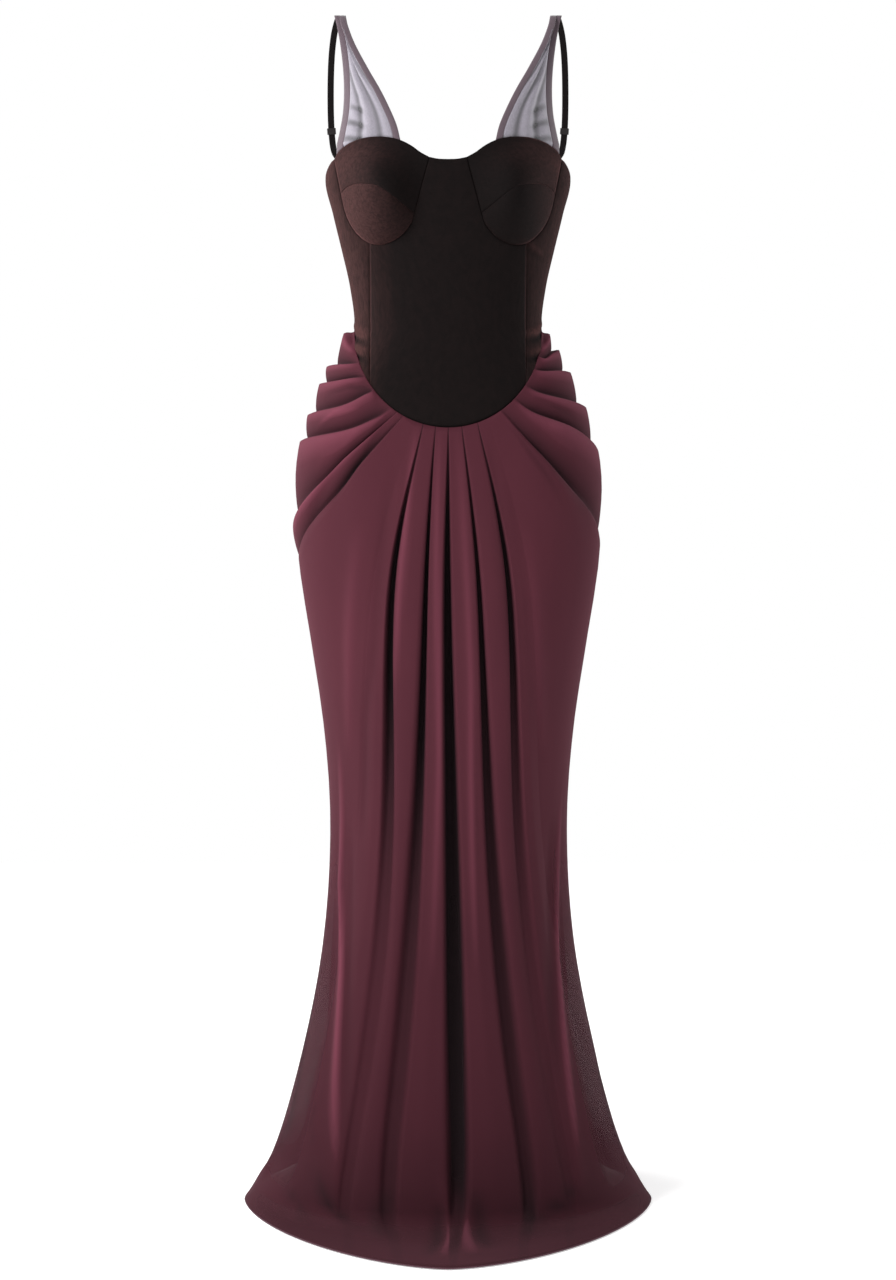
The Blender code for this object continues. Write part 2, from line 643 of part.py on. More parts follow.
def back_fold(turn, run):
    """Two soft folds that open down each half of the back."""
    opening = fade(-run, -0.78, -0.25) * fade(run, FLOOR_FADE_END, FLOOR_FADE_TOP)
    wave = sum(math.exp(-((turn - centre) / BACK_FOLD_WIDTH * 2) ** 2) for centre in BACK_FOLD_TURNS)
    return BACK_FOLD_LIFT * opening * wave


def skirt_back_rows(side_edge):
    """Rows of a back half, each from its place on the skirt front's side edge to centre back."""
    rows = []
    for side in side_edge:
        line = []
        for turn in BACK_TURNS:
            share = 1 - fade(turn, 1.0, SWAG_FADE_TURN)
            line.append(Place(turn, side.run, side.lift * share + back_fold(turn, side.run)))
        rows.append(line)
    return rows


def make_skirt_backs():
    right = [along(line, 1.0) for line in side_lines(RIGHT_SWAGS, RIGHT_PLAINS, 1)[:-1]]
    left = [along(line, 1.0) for line in side_lines(LEFT_SWAGS, LEFT_PLAINS, -1)[:-1]]
    cloth_panel("skirt_back_right", skirt_back_rows(right), CLOTH_WALL, MESH)
    cloth_panel("skirt_back_left", skirt_back_rows(left), CLOTH_WALL, MESH, mirror=True)


def lining_point(place, depth=0.0):
    """Point of the lining: under the skirt's cloth down to the knee, a slim tube below it."""
    tube_top = LINING_LOWER[0].run
    on_figure = stand_point(place, depth)
    slim = cloth_point(place.turn, min(place.run, tube_top), -depth, LINING_LOWER)
    slim.z = place.run - SHOULDER_HEIGHT
    return on_figure.lerp(slim, fade(-place.run, -tube_top - 0.06, -tube_top))


def seam_over(turn):
    """Height of the dropped seam at a turn."""
    low, high = 0.0, 90.0
    for _ in range(30):
        middle = (low + high) / 2
        if dropped_seam(middle)[0] < abs(turn):
            low = middle
        else:
            high = middle
    return dropped_seam(high)[1]


def lining_rows(turns, tops):
    """Rows of the lining from under the seam to its hem, opened at centre back beside the zip."""
    rows = []
    for share, clearance in LINING_UPPER_ROWS:
        rows.append([
            Place(turn, top + (LINING_RUNS[0] - top) * share, -CLOTH_WALL - clearance)
            for turn, top in zip(turns, tops)
        ])
    rows += [[Place(turn, run, -CLOTH_WALL - LINING_CLEARANCE) for turn in turns] for run in LINING_RUNS]

    def beside_zip(place):
        opening = turn_at(ZIP_TAPE_WIDTH / 2 + 0.0012, WAIST_HEIGHT)
        opening *= fade(place.run, ZIP_END_HEIGHT - 0.03, ZIP_END_HEIGHT - 0.004)
        return place._replace(turn=1 + (place.turn - 1) * (1 - opening)) if place.turn > 1 else place

    return [[beside_zip(place) for place in row] for row in rows]


def make_lining():
    front_tops = [seam_over(turn) - LINING_DROP for turn in LINING_FRONT_TURNS]
    cloth_panel("lining_front", lining_rows(LINING_FRONT_TURNS, front_tops), LINING_WALL, LINING, lining_point)
    back = lining_rows(BACK_TURNS, [WAIST_HEIGHT - LINING_DROP] * len(BACK_TURNS))
    cloth_panel("lining_back_right", back, LINING_WALL, LINING, lining_point)
    cloth_panel("lining_back_left", back, LINING_WALL, LINING, lining_point, mirror=True)


# Straps
def strap_x(height, edge):
    """Distance from the centre line of the strap's outer edge (1) or inner edge (2)."""
    return smooth_steps([(row[0], row[edge]) for row in STRAP_EDGES], height)


def neck_height(x):
    return smooth_steps([(place[0], place[1]) for place in NECKLINE], x)


def strap_point(x, foot, height):
    """Point of the left strap's face over a foot on the neckline."""
    foot_height = neck_height(foot) + SEAM_GAP
    reach = cloth_point(turn_at(-foot, foot_height), foot_height, -0.0006).y
    rise = (height - foot_height) / (STRAP_TOP_HEIGHT - foot_height)
    return Vector((-x, reach * smooth_steps(STRAP_LEAN, rise), height - SHOULDER_HEIGHT))


def strap_strip(top_height, columns, rows, left_edge, right_edge):
    """Rows of a strap piece; each edge gives x at a height."""
    grid = []
    for row in range(rows + 1):
        line = []
        for column in range(columns + 1):
            share = column / columns
            foot = left_edge(STRAP_EDGES[-1][0]) * (1 - share) + right_edge(STRAP_EDGES[-1][0]) * share
            low = neck_height(foot) + SEAM_GAP
            height = top_height + (low - top_height) * row / rows
            x = left_edge(height) * (1 - share) + right_edge(height) * share
            line.append(strap_point(x, foot, height))
        grid.append(line)
    return grid


def make_front_straps():
    inside = BINDING_WIDTH + STRAP_GAP

    def outer(height):
        return strap_x(height, 1)

    def outer_inside(height):
        return strap_x(height, 1) - BINDING_WIDTH

    def inner(height):
        return strap_x(height, 2)

    def inner_inside(height):
        return strap_x(height, 2) + BINDING_WIDTH

    def inset_left(height):
        return strap_x(height, 1) - inside

    def inset_right(height):
        return min(strap_x(height, 2) + inside, strap_x(height, 1) - inside - 0.0012)

    both_strips("strap_binding_outer", strap_strip(STRAP_TOP_HEIGHT, 1, 16, outer, outer_inside),
               BINDING_WALL, BINDING)
    both_strips("strap_binding_inner", strap_strip(STRAP_TOP_HEIGHT, 1, 16, inner_inside, inner),
               BINDING_WALL, BINDING)
    both_strips("strap_inset", strap_strip(INSET_TOP_HEIGHT, 6, 8, inset_left, inset_right),
               LINING_WALL, SHEER)


def elastic_centres():
    foot = cloth_point(-STRAP_TURN, smooth_steps(BACK_EDGE, STRAP_TURN), -CLOTH_WALL / 3)
    foot.z += SEAM_GAP
    route = [Vector((-x, y, height - SHOULDER_HEIGHT)) for x, y, height in ELASTIC_PATH] + [foot]
    return [Vector(point) for point in evenly_along(route, 20)]


def make_back_straps():
    centres = elastic_centres()
    half = Vector((ELASTIC_WIDTH / 2, 0.0, 0.0))
    rows = [[centre + half, centre - half] for centre in centres]
    both_strips("back_elastic", rows, ELASTIC_WALL, ELASTIC)

    along_strap = (centres[SLIDER_STEP + 1] - centres[SLIDER_STEP - 1]).normalized()
    face = (-along_strap).cross(Vector((1.0, 0.0, 0.0))).normalized()
    middle = centres[SLIDER_STEP] - face * ELASTIC_WALL / 2
    for side, name in ((1, "left"), (-1, "right")):
        place = Vector((middle.x * side, middle.y, middle.z))
        upright = Vector((along_strap.x * side, along_strap.y, along_strap.z))
        sideways = Vector((1.0, 0.0, 0.0))
        outward = upright.cross(sideways).normalized()
        sideways = outward.cross(upright).normalized()
        stand = Matrix((sideways, outward, upright)).transposed().to_4x4()
        stand.translation = place
        slotted_ring("strap_slider_" + name, stand)


def slotted_ring(name, stand):
    """Ring of a strap slider, with the slot that the elastic runs through."""
    half = SLIDER_SIZE[2] / 2
    turns = ((*SLIDER_SIZE[:2], half), (*SLIDER_SIZE[:2], -half), (*SLIDER_SLOT, -half), (*SLIDER_SLOT, half))
    shape = bmesh.new()
    loops = [
        [shape.verts.new((x * width / 2, y * depth / 2, z)) for x, y in ((-1, -1), (1, -1), (1, 1), (-1, 1))]
        for width, depth, z in turns
    ]
    for upper, lower in zip(loops, loops[1:] + loops[:1]):
        for i in range(4):
            following = (i + 1) % 4
            shape.faces.new((upper[i], lower[i], lower[following], upper[following]))
    bmesh.ops.recalc_face_normals(shape, faces=shape.faces)
    mesh = bpy.data.meshes.new(name)
    shape.to_mesh(mesh)
    shape.free()
    ring = add_part(name, mesh, ELASTIC)
    ring.matrix_world = stand
    soften(ring, 0.0003)


def box(name, size, stand, finish):
    """Box of a size, placed by a matrix; without a finish it is a cutter."""
    shape = bmesh.new()
    bmesh.ops.create_cube(shape, size=1.0)
    bmesh.ops.scale(shape, vec=size, verts=shape.verts)
    mesh = bpy.data.meshes.new(name)
    shape.to_mesh(mesh)
    shape.free()
    if finish is None:
        part = bpy.data.objects.new(name, mesh)
        cutters.objects.link(part)
        part.hide_render = True
        part.display_type = "WIRE"
    else:
        part = add_part(name, mesh, finish)
    part.matrix_world = stand
    return part


def cut(part, cutter, operation="DIFFERENCE"):
    change = part.modifiers.new("cut", "BOOLEAN")
    change.operation = operation
    change.object = cutter
    change.solver = "EXACT"


def soften(part, width):
    edges = part.modifiers.new("rounding", "BEVEL")
    edges.width = width
    edges.segments = 1


# Zip
def back_stand(height, lift):
    """Matrix at centre back: X to the right, Y outwards and Z up along the cloth."""
    place = cloth_point(2.0, height, lift)
    upright = (cloth_point(2.0, height + 0.004) - cloth_point(2.0, height - 0.004)).normalized()
    upright.x = 0.0
    sideways = Vector((1.0, 0.0, 0.0))
    outward = upright.cross(sideways)
    stand = Matrix((sideways, outward, upright)).transposed().to_4x4()
    stand.translation = (0.0, place.y, place.z)
    return stand


def make_zip():
    tape = []
    for step in range(17):
        height = ZIP_TOP_HEIGHT + (ZIP_END_HEIGHT - ZIP_TOP_HEIGHT) * step / 16
        half = turn_at(ZIP_TAPE_WIDTH / 2, height)
        lift = -CLOTH_WALL - ZIP_TAPE_CLEARANCE
        tape.append([Place(turn, height, lift) for turn in (2.0 - half, 2.0, 2.0 + half)])
    cloth_panel("zip_tape", tape, ZIP_TAPE_WALL, ZIP_TAPE)

    base = box("zip_slider", ZIP_BASE, back_stand(SLIDER_HEIGHT, 0.0004 + ZIP_BASE[1] / 2), ZIP_METAL)
    for side in (-1, 1):
        ear_stand = back_stand(SLIDER_HEIGHT, PIVOT_LIFT)
        ear_stand = ear_stand @ Matrix.Translation((side * EAR_SPREAD, -0.0004, 0.0))
        cut(base, box("ear", EAR_SIZE, ear_stand, None), "UNION")

    pivot = back_stand(SLIDER_HEIGHT, PIVOT_LIFT)
    shape = bmesh.new()
    bmesh.ops.create_cone(shape, cap_ends=True, segments=16, radius1=BARREL_RADIUS, radius2=BARREL_RADIUS,
                          depth=PULL_WIDTH, matrix=Matrix.Rotation(math.pi / 2, 4, "Y"))
    mesh = bpy.data.meshes.new("zip_pull")
    shape.to_mesh(mesh)
    shape.free()
    pull = add_part("zip_pull", mesh, ZIP_METAL)
    pull.matrix_world = pivot
    neck = pivot @ Matrix.Translation((0.0, 0.0, -0.0030))
    cut(pull, box("pull_neck", (PULL_WIDTH - 0.0006, PULL_WALL, 0.0056), neck, None), "UNION")
    leaf = pivot @ Matrix.Translation((0.0, 0.0, -PULL_LENGTH / 2 - 0.0030))
    cut(pull, box("pull_leaf", (0.0050, PULL_WALL + 0.0002, PULL_LENGTH - 0.0040), leaf, None), "UNION")


for stale in list(bpy.data.objects):
    bpy.data.objects.remove(stale, do_unlink=True)
dress = bpy.data.collections.new("bustier_maxi_dress")
cutters = bpy.data.collections.new("cutters")
bpy.context.scene.collection.children.link(dress)
bpy.context.scene.collection.children.link(cutters)

make_centre_front()
make_side_fronts()
make_cups()
make_bodice_backs()
make_skirt_front()
make_skirt_backs()
make_lining()
make_front_straps()
make_back_straps()
make_zip()
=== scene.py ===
"""Looks of the bustier maxi dress: thin cloth shells on the forms of the solids, in metres."""
import math
from collections import namedtuple

import bpy
import numpy as np
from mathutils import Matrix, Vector


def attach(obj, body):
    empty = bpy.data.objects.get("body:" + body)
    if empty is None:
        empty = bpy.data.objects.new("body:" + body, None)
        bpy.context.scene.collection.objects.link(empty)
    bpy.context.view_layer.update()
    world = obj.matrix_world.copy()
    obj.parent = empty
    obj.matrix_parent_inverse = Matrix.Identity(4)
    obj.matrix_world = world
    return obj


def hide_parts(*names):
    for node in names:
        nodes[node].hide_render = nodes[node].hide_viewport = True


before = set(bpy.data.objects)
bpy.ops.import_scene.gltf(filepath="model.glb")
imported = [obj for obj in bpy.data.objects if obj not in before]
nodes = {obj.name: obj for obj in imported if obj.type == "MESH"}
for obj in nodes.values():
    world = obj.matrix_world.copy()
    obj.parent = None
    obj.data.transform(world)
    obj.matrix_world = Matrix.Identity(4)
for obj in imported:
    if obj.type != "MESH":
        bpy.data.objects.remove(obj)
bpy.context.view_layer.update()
scene = bpy.context.scene
scene.view_settings.view_transform = "Standard"

# The general figure that fills the dress. Run is measured down the cloth, and below the floor
# break it goes on outwards along the floor. Heights are above the floor.
SHOULDER_HEIGHT = 1.42
WAIST_HEIGHT = 1.058
WAIST_HALF_WIDTH = 0.111
SEAM_DROP = 0.118
UNDERARM_HEIGHT = 1.2306
HEM_RUN = -0.13
CLOTH_WALL = 0.002
Section = namedtuple("Section", "run middle_height side_height half_width front back roundness")


def level(height, half_width, front, back):
    """A section at one height all round."""
    return Section(height, height, height, half_width, front, back, 2.2)


FIGURE = (
    level(1.29, 0.134, 0.098, 0.082),
    level(1.2306, 0.1448, 0.103, 0.093),
    level(1.19, 0.136, 0.099, 0.09),
    level(1.15, 0.1265, 0.092, 0.086),
    level(1.105, 0.1163, 0.087, 0.083),
    level(WAIST_HEIGHT, WAIST_HALF_WIDTH, 0.085, 0.084),
    level(1.04, 0.1165, 0.087, 0.09),
    level(1.0, 0.137, 0.092, 0.103),
    level(0.95, 0.1575, 0.097, 0.115),
    level(0.9, 0.1715, 0.099, 0.121),
    level(0.85, 0.1768, 0.1, 0.122),
    level(0.78, 0.175, 0.1, 0.116),
    level(0.685, 0.1612, 0.098, 0.104),
    level(0.588, 0.1472, 0.096, 0.097),
    level(0.49, 0.1398, 0.095, 0.096),
    level(0.393, 0.142, 0.097, 0.104),
    level(0.295, 0.1528, 0.101, 0.122),
    level(0.1965, 0.1727, 0.107, 0.148),
    level(0.097, 0.1993, 0.117, 0.182),
    Section(0.047, 0.047, 0.048, 0.2175, 0.126, 0.207, 2.1),
    Section(0.012, 0.014, 0.026, 0.232, 0.14, 0.228, 2.0),
    Section(-0.03, 0.0024, 0.015, 0.239, 0.176, 0.253, 1.8),
    Section(-0.1, 0.0014, 0.005, 0.2455, 0.242, 0.29, 1.65),
    Section(HEM_RUN, 0.0014, 0.0014, 0.2481, 0.27, 0.305, 1.6),
)


def cubic(start, leaving, end, arriving, t):
    """Step from start to end, with its slope at both, for t from 0 to 1."""
    return (
        start * (2 * t**3 - 3 * t**2 + 1)
        + leaving * (t**3 - 2 * t**2 + t)
        + end * (3 * t**2 - 2 * t**3)
        + arriving * (t**3 - t**2)
    )


def curve_through(knots, at):
    """Values at places on a smooth curve through (place, value) knots."""
    knots = np.array(sorted(knots), dtype=float)
    places, values = knots[:, 0], knots[:, 1]
    slopes = np.gradient(values, places) if len(places) > 2 else np.full(2, np.diff(values) / np.diff(places))
    slopes[1:-1] = (values[2:] - values[:-2]) / (places[2:] - places[:-2])
    at = np.clip(np.asarray(at, dtype=float), places[0], places[-1])
    index = np.clip(np.searchsorted(places, at) - 1, 0, len(places) - 2)
    span = places[index + 1] - places[index]
    t = (at - places[index]) / span
    return cubic(values[index], slopes[index] * span, values[index + 1], slopes[index + 1] * span, t)


def section_columns(sections, run):
    """Heights, half width, front, back and roundness of the sections at runs."""
    return [
        curve_through([(section.run, section[column]) for section in sections], run)
        for column in range(1, len(Section._fields))
    ]


def figure_points(turn, run, sections=FIGURE):
    """Points of the figure; turn 0 is centre front, 1 and -1 the side seams, 2 centre back."""
    middle, side, half_width, front, back, roundness = section_columns(sections, run)
    sine, cosine = np.sin(turn * np.pi / 2), np.cos(turn * np.pi / 2)
    power = 2 / roundness
    depth = np.where(cosine > 0, front, back)
    x = half_width * np.sign(sine) * np.abs(sine) ** power
    y = -depth * np.sign(cosine) * np.abs(cosine) ** power
    height = middle + (side - middle) * sine**4
    return np.stack([x, y, height - SHOULDER_HEIGHT], axis=-1)


def cloth_points(turn, run, lift=0.0, sections=FIGURE):
    """Points that stand off the figure by a lift, square to it."""
    turn, run = np.broadcast_arrays(np.asarray(turn, float), np.asarray(run, float))
    step = 0.004
    across = figure_points(turn + step, run, sections) - figure_points(turn - step, run, sections)
    down = figure_points(turn, run - step, sections) - figure_points(turn, run + step, sections)
    square = np.cross(down, across)
    square /= np.linalg.norm(square, axis=-1, keepdims=True)
    return figure_points(turn, run, sections) + square * np.asarray(lift)[..., None]


def turn_at(x, run):
    """Turn of the figure's front at a distance from the centre line."""
    half_width, roundness = (section_columns(FIGURE, run)[column] for column in (2, 5))
    share = np.clip(np.abs(x) / half_width, 0, 1)
    return np.sign(x) * np.arcsin(share ** (roundness / 2)) * 2 / np.pi


def fade(at, start, end):
    """0 before start, 1 after end, and a soft step between them."""
    t = np.clip((np.asarray(at, float) - start) / (end - start), 0, 1)
    return t * t * (3 - 2 * t)


def hex_colour(code):
    """Linear colour of an sRGB hex code."""
    values = [int(code[i:i + 2], 16) / 255 for i in (1, 3, 5)]
    linear = [v / 12.92 if v <= 0.04045 else ((v + 0.055) / 1.055) ** 2.4 for v in values]
    return (*linear, 1.0)


def add_node(tree, kind, settings=None, links=None):
    """A node with its settings; links join its inputs to other nodes' outputs."""
    node = tree.nodes.new(kind)
    for name, value in (settings or {}).items():
        if name in node.inputs:
            node.inputs[name].default_value = value
        else:
            setattr(node, name, value)
    for name, source in (links or {}).items():
        tree.links.new(source, node.inputs[name])
    return node


def new_material(name, values):
    """A new material with its node tree and its shader, which takes the given plain values."""
    material = bpy.data.materials.new(name)
    material.use_nodes = True
    shader = material.node_tree.nodes["Principled BSDF"]
    for socket, value in values.items():
        shader.inputs[socket].default_value = value
    return material, material.node_tree, shader


def coat(names, material):
    """Gives its material to solids that are carried over as they are."""
    for name in names:
        nodes[name].data.materials.clear()
        nodes[name].data.materials.append(material)


def pattern(tree, kind, settings, on_cloth=False):
    """Strength of a procedural pattern, laid out on the flat cloth or else through space."""
    node = add_node(tree, "ShaderNodeTex" + kind, settings)
    if on_cloth:
        place = add_node(tree, "ShaderNodeUVMap", {"uv_map": "cloth"})
        tree.links.new(place.outputs["UV"], node.inputs["Vector"])
    return node.outputs["Fac"]


def painted(tree, label):
    """Value that a piece's own paint gives at each point."""
    return add_node(tree, "ShaderNodeAttribute", {"attribute_name": label}).outputs["Fac"]


def mixed(tree, factor, first, second, blend="MIX"):
    """Colour between two that are hex codes or other nodes' outputs."""
    node = add_node(tree, "ShaderNodeMix", {"data_type": "RGBA", "blend_type": blend}, {"Factor": factor})
    for socket, colour in ((6, first), (7, second)):
        if isinstance(colour, str):
            node.inputs[socket].default_value = hex_colour(colour)
        else:
            tree.links.new(colour, node.inputs[socket])
    return node.outputs[2]


def combined(tree, operation, first, second, use_clamp=False):
    """Two outputs put together by a sum or product."""
    node = add_node(tree, "ShaderNodeMath", {"operation": operation, "use_clamp": use_clamp})
    tree.links.new(first, node.inputs[0])
    tree.links.new(second, node.inputs[1])
    return node.outputs[0]


def ranged(tree, value, to_min, to_max=1.0, from_min=0.0, from_max=1.0):
    """A value carried over from one range to another."""
    settings = {"From Min": from_min, "From Max": from_max, "To Min": to_min, "To Max": to_max}
    return add_node(tree, "ShaderNodeMapRange", settings, {"Value": value}).outputs["Result"]


def surfaced(tree, shader, colour, height, strength, distance=0.0003):
    """Gives the shader a colour and a fine relief."""
    settings = {"Strength": strength, "Distance": distance}
    relief = add_node(tree, "ShaderNodeBump", settings, {"Height": height})
    tree.links.new(colour, shader.inputs["Base Color"])
    tree.links.new(relief.outputs["Normal"], shader.inputs["Normal"])


def lengths_along(points):
    """Length of the way from the first point to each point."""
    return np.concatenate([[0], np.cumsum(np.linalg.norm(np.diff(points, axis=0), axis=1))])


def placed(name, data):
    """A new object in the scene."""
    thing = bpy.data.objects.new(name, data)
    scene.collection.objects.link(thing)
    return thing


def skin_piece(name, face, back, material, paint=None):
    """Closed thin shell from a grid of face points and a grid of back points, with its real
    length across and down as UV in metres. Grids run top row first, left to right from outside.
    Paint holds grids of values that the material reads by name."""
    rows, columns = face.shape[:2]
    points = np.concatenate([face.reshape(-1, 3), back.reshape(-1, 3)])
    grid = np.arange(rows * columns).reshape(rows, columns)
    a, b, c, d = grid[:-1, :-1], grid[1:, :-1], grid[1:, 1:], grid[:-1, 1:]
    outer = np.stack([a, b, c, d], axis=-1).reshape(-1, 4)
    inner = outer[:, ::-1] + rows * columns
    loop = np.concatenate([grid[0, :-1], grid[:-1, -1], grid[-1, :0:-1], grid[:0:-1, 0]])
    following = np.roll(loop, -1)
    rim = np.stack([loop, following, following + rows * columns, loop + rows * columns], axis=-1)
    faces = np.concatenate([outer, inner, rim])
    mesh = bpy.data.meshes.new(name)
    mesh.from_pydata(points.tolist(), [], faces.tolist())
    across = lengths_along(face[rows // 2])
    steps = np.linalg.norm(np.diff(face, axis=0), axis=2)
    down = np.concatenate([np.zeros((1, columns)), np.cumsum(steps, axis=0)])
    flat = np.stack([np.broadcast_to(across, (rows, columns)), -down], axis=-1).reshape(-1, 2)
    layer = mesh.uv_layers.new(name="cloth")
    corners = np.zeros(len(mesh.loops), dtype=int)
    mesh.loops.foreach_get("vertex_index", corners)
    layer.data.foreach_set("uv", flat[corners % (rows * columns)].ravel())
    for label, values in (paint or {}).items():
        attribute = mesh.attributes.new(label, "FLOAT", "POINT")
        attribute.data.foreach_set("value", np.tile(values.ravel(), 2).astype(np.float32))
    mesh.shade_smooth()
    mesh.materials.append(material)
    piece = placed(name, mesh)
    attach(piece, "dress")
    return piece


def cloth_piece(name, turn, run, lift, wall, material, forward=0.0, mirror=False, paint=None):
    """Shell over the figure at a grid of places; forward moves it to the front, and mirror makes
    it the piece of the other side."""
    lift = np.broadcast_to(lift, turn.shape)
    face = cloth_points(turn, run, lift)
    back = cloth_points(turn, run, lift - wall)
    for skin in (face, back):
        skin[..., 1] -= forward
        if mirror:
            skin[..., 0] *= -1
    if mirror:
        face, back = face[:, ::-1], back[:, ::-1]
        paint = {label: values[:, ::-1] for label, values in (paint or {}).items()}
    return skin_piece(name, face, back, material, paint)


def finer(grid, times, axis=1):
    """A grid with places added between its rows or columns on smooth curves."""
    grid = np.moveaxis(np.asarray(grid, float), axis, 0)
    count = len(grid)
    at = np.linspace(0, count - 1, (count - 1) * times + 1)
    index = np.clip(np.floor(at).astype(int), 0, count - 2)
    t = (at - index).reshape(-1, *[1] * (grid.ndim - 1))
    steps = np.diff(grid, axis=0)
    before, after = steps[:-1], steps[1:]
    limit = 2.5 * np.minimum(np.abs(before), np.abs(after)) * (before * after > 0)
    slopes = np.concatenate([steps[:1], np.clip((before + after) / 2, -limit, limit), steps[-1:]])
    return np.moveaxis(cubic(grid[index], slopes[index], grid[index + 1], slopes[index + 1], t), 0, axis)


# Creases that show on the cloth: a path of (x from the centre line, height), half width, height
# of the ridge, negative for a trough, and its tone, above 0 for darker and below 0 for paler or
# rosier cloth. On folds the tone is painted shade and painted highlight or painted sheen; on the
# skirt's side seams it is a dark seam line. Both ends die out.
Crease = namedtuple("Crease", "path width rise tone")


def creased(turn, run, creases, quarter=0.21):
    """Lift and tone of all the creases at a grid of places."""
    lift, tone = np.zeros_like(turn), np.zeros_like(turn)
    here = np.stack([turn * quarter, run], axis=-1)
    for crease in creases:
        path = np.array([(float(turn_at(x, height)) * quarter, height) for x, height in crease.path])
        before = lengths_along(path)
        nearest = np.full(turn.shape, 9.0)
        along = np.zeros(turn.shape)
        for i, (start, end) in enumerate(zip(path, path[1:])):
            length = np.linalg.norm(end - start)
            way = (end - start) / length
            t = np.clip((here - start) @ way, 0, length)
            distance = np.linalg.norm(here - start - t[..., None] * way, axis=-1)
            closer = distance < nearest
            nearest = np.where(closer, distance, nearest)
            along = np.where(closer, (before[i] + t) / before[-1], along)
        shape = np.exp(-((nearest / crease.width) ** 2)) * np.sin(np.pi * along) ** 0.7
        lift += crease.rise * shape
        tone += crease.tone * shape
    return lift, tone


def for_side(creases, side):
    """Creases as a left piece needs them: flipped over where side is 1, the right."""
    flipped = [tuple((-side * x, height) for x, height in crease.path) for crease in creases]
    return [crease._replace(path=path) for crease, path in zip(creases, flipped)]


# Camera at the picture's height and distance, looking 5 degrees down, with a lens that frames the
# dress from the strap tops to the hem on the floor
camera = placed("camera", bpy.data.cameras.new("camera"))
camera.location = (0.0, -3.188, -0.456)
camera.rotation_euler = (math.radians(85), 0, 0)
camera.data.lens = 75
camera.data.sensor_width = 36
scene.camera = camera

# Matt pale floor just under the hem, white surroundings, and large soft lamps: a key from the
# upper left, a weak fill from the right and a rim lamp behind each side
FLOOR_CORNERS = ((-3, -2.4), (3, -2.4), (3, 2.4), (-3, 2.4))
FLOOR_HEIGHT = -1.4212
floor_mesh = bpy.data.meshes.new("floor")
floor_mesh.from_pydata([(x, y, FLOOR_HEIGHT) for x, y in FLOOR_CORNERS], [], [(0, 1, 2, 3)])
floor = placed("floor", floor_mesh)
floor_material, tree, shader = new_material("studio_floor", {
    "Roughness": 0.9, "Emission Color": (1, 1, 1, 1), "Emission Strength": 0.42,
})
mottle = pattern(tree, "Noise", {"Scale": 3.0, "Detail": 2.0})
tone = mixed(tree, mottle, "#fbfbfb", "#ffffff")
tree.links.new(tone, shader.inputs["Base Color"])
floor_mesh.materials.append(floor_material)
world = bpy.data.worlds.new("studio")
world.use_nodes = True
seen = add_node(world.node_tree, "ShaderNodeLightPath")
strength = ranged(world.node_tree, seen.outputs["Is Camera Ray"], 0.3)
background = world.node_tree.nodes["Background"]
background.inputs["Color"].default_value = (1, 1, 1, 1)
world.node_tree.links.new(strength, background.inputs["Strength"])
scene.world = world
Lamp = namedtuple("Lamp", "name place aim size power")
LAMPS = (
    Lamp("key", (-2.3, -2.0, 1.2), (0, 0, -0.5), 1.2, 125),
    Lamp("fill", (2.6, -2.4, 0.2), (0, 0, -0.6), 2.0, 16),
    Lamp("left_rim", (-2.4, 0.9, 0.4), (0, 0, -0.4), 1.6, 50),
    Lamp("right_rim", (2.4, 0.9, 0.3), (0, 0, -0.3), 1.6, 34),
)
for lamp in LAMPS:
    light = bpy.data.lights.new(lamp.name, "AREA")
    light.size = lamp.size
    light.energy = lamp.power
    holder = placed(lamp.name, light)
    holder.location = lamp.place
    holder.rotation_euler = (Vector(lamp.aim) - Vector(lamp.place)).to_track_quat("-Z", "Y").to_euler()

# Lining: a slim tube of plain burgundy lining cloth under the mesh, sewn in at the dropped seam
# and hemmed above the floor. It shows through the sheer skirt below the knee.
LINING_LOWER = (
    level(0.49, 0.1352, 0.0905, 0.0915),
    level(0.39, 0.137, 0.0925, 0.095),
    level(0.25, 0.146, 0.098, 0.103),
    level(0.1, 0.153, 0.108, 0.118),
    Section(0.01, 0.01, 0.014, 0.164, 0.12, 0.134, 2.2),
)
LINING_UPPER_ROWS = ((0.0, 0.001), (0.1, 0.0022), (0.26, 0.003), (0.48, 0.0034), (0.74, 0.0036))
LINING_RUNS = (0.9, 0.85, 0.77, 0.66, 0.55, 0.49, 0.37, 0.22, 0.09, 0.012)
LINING_WALL = 0.0007
ZIP_END_HEIGHT = 0.93
ZIP_OPENING = 0.105


def dropped_seam(degrees):
    """Turn and height on the dropped seam; 0 is centre front and 90 the side seam."""
    angle = np.radians(np.asarray(degrees, float))
    height = WAIST_HEIGHT - SEAM_DROP * np.cos(angle)
    return turn_at(WAIST_HALF_WIDTH * np.sin(angle), height), height


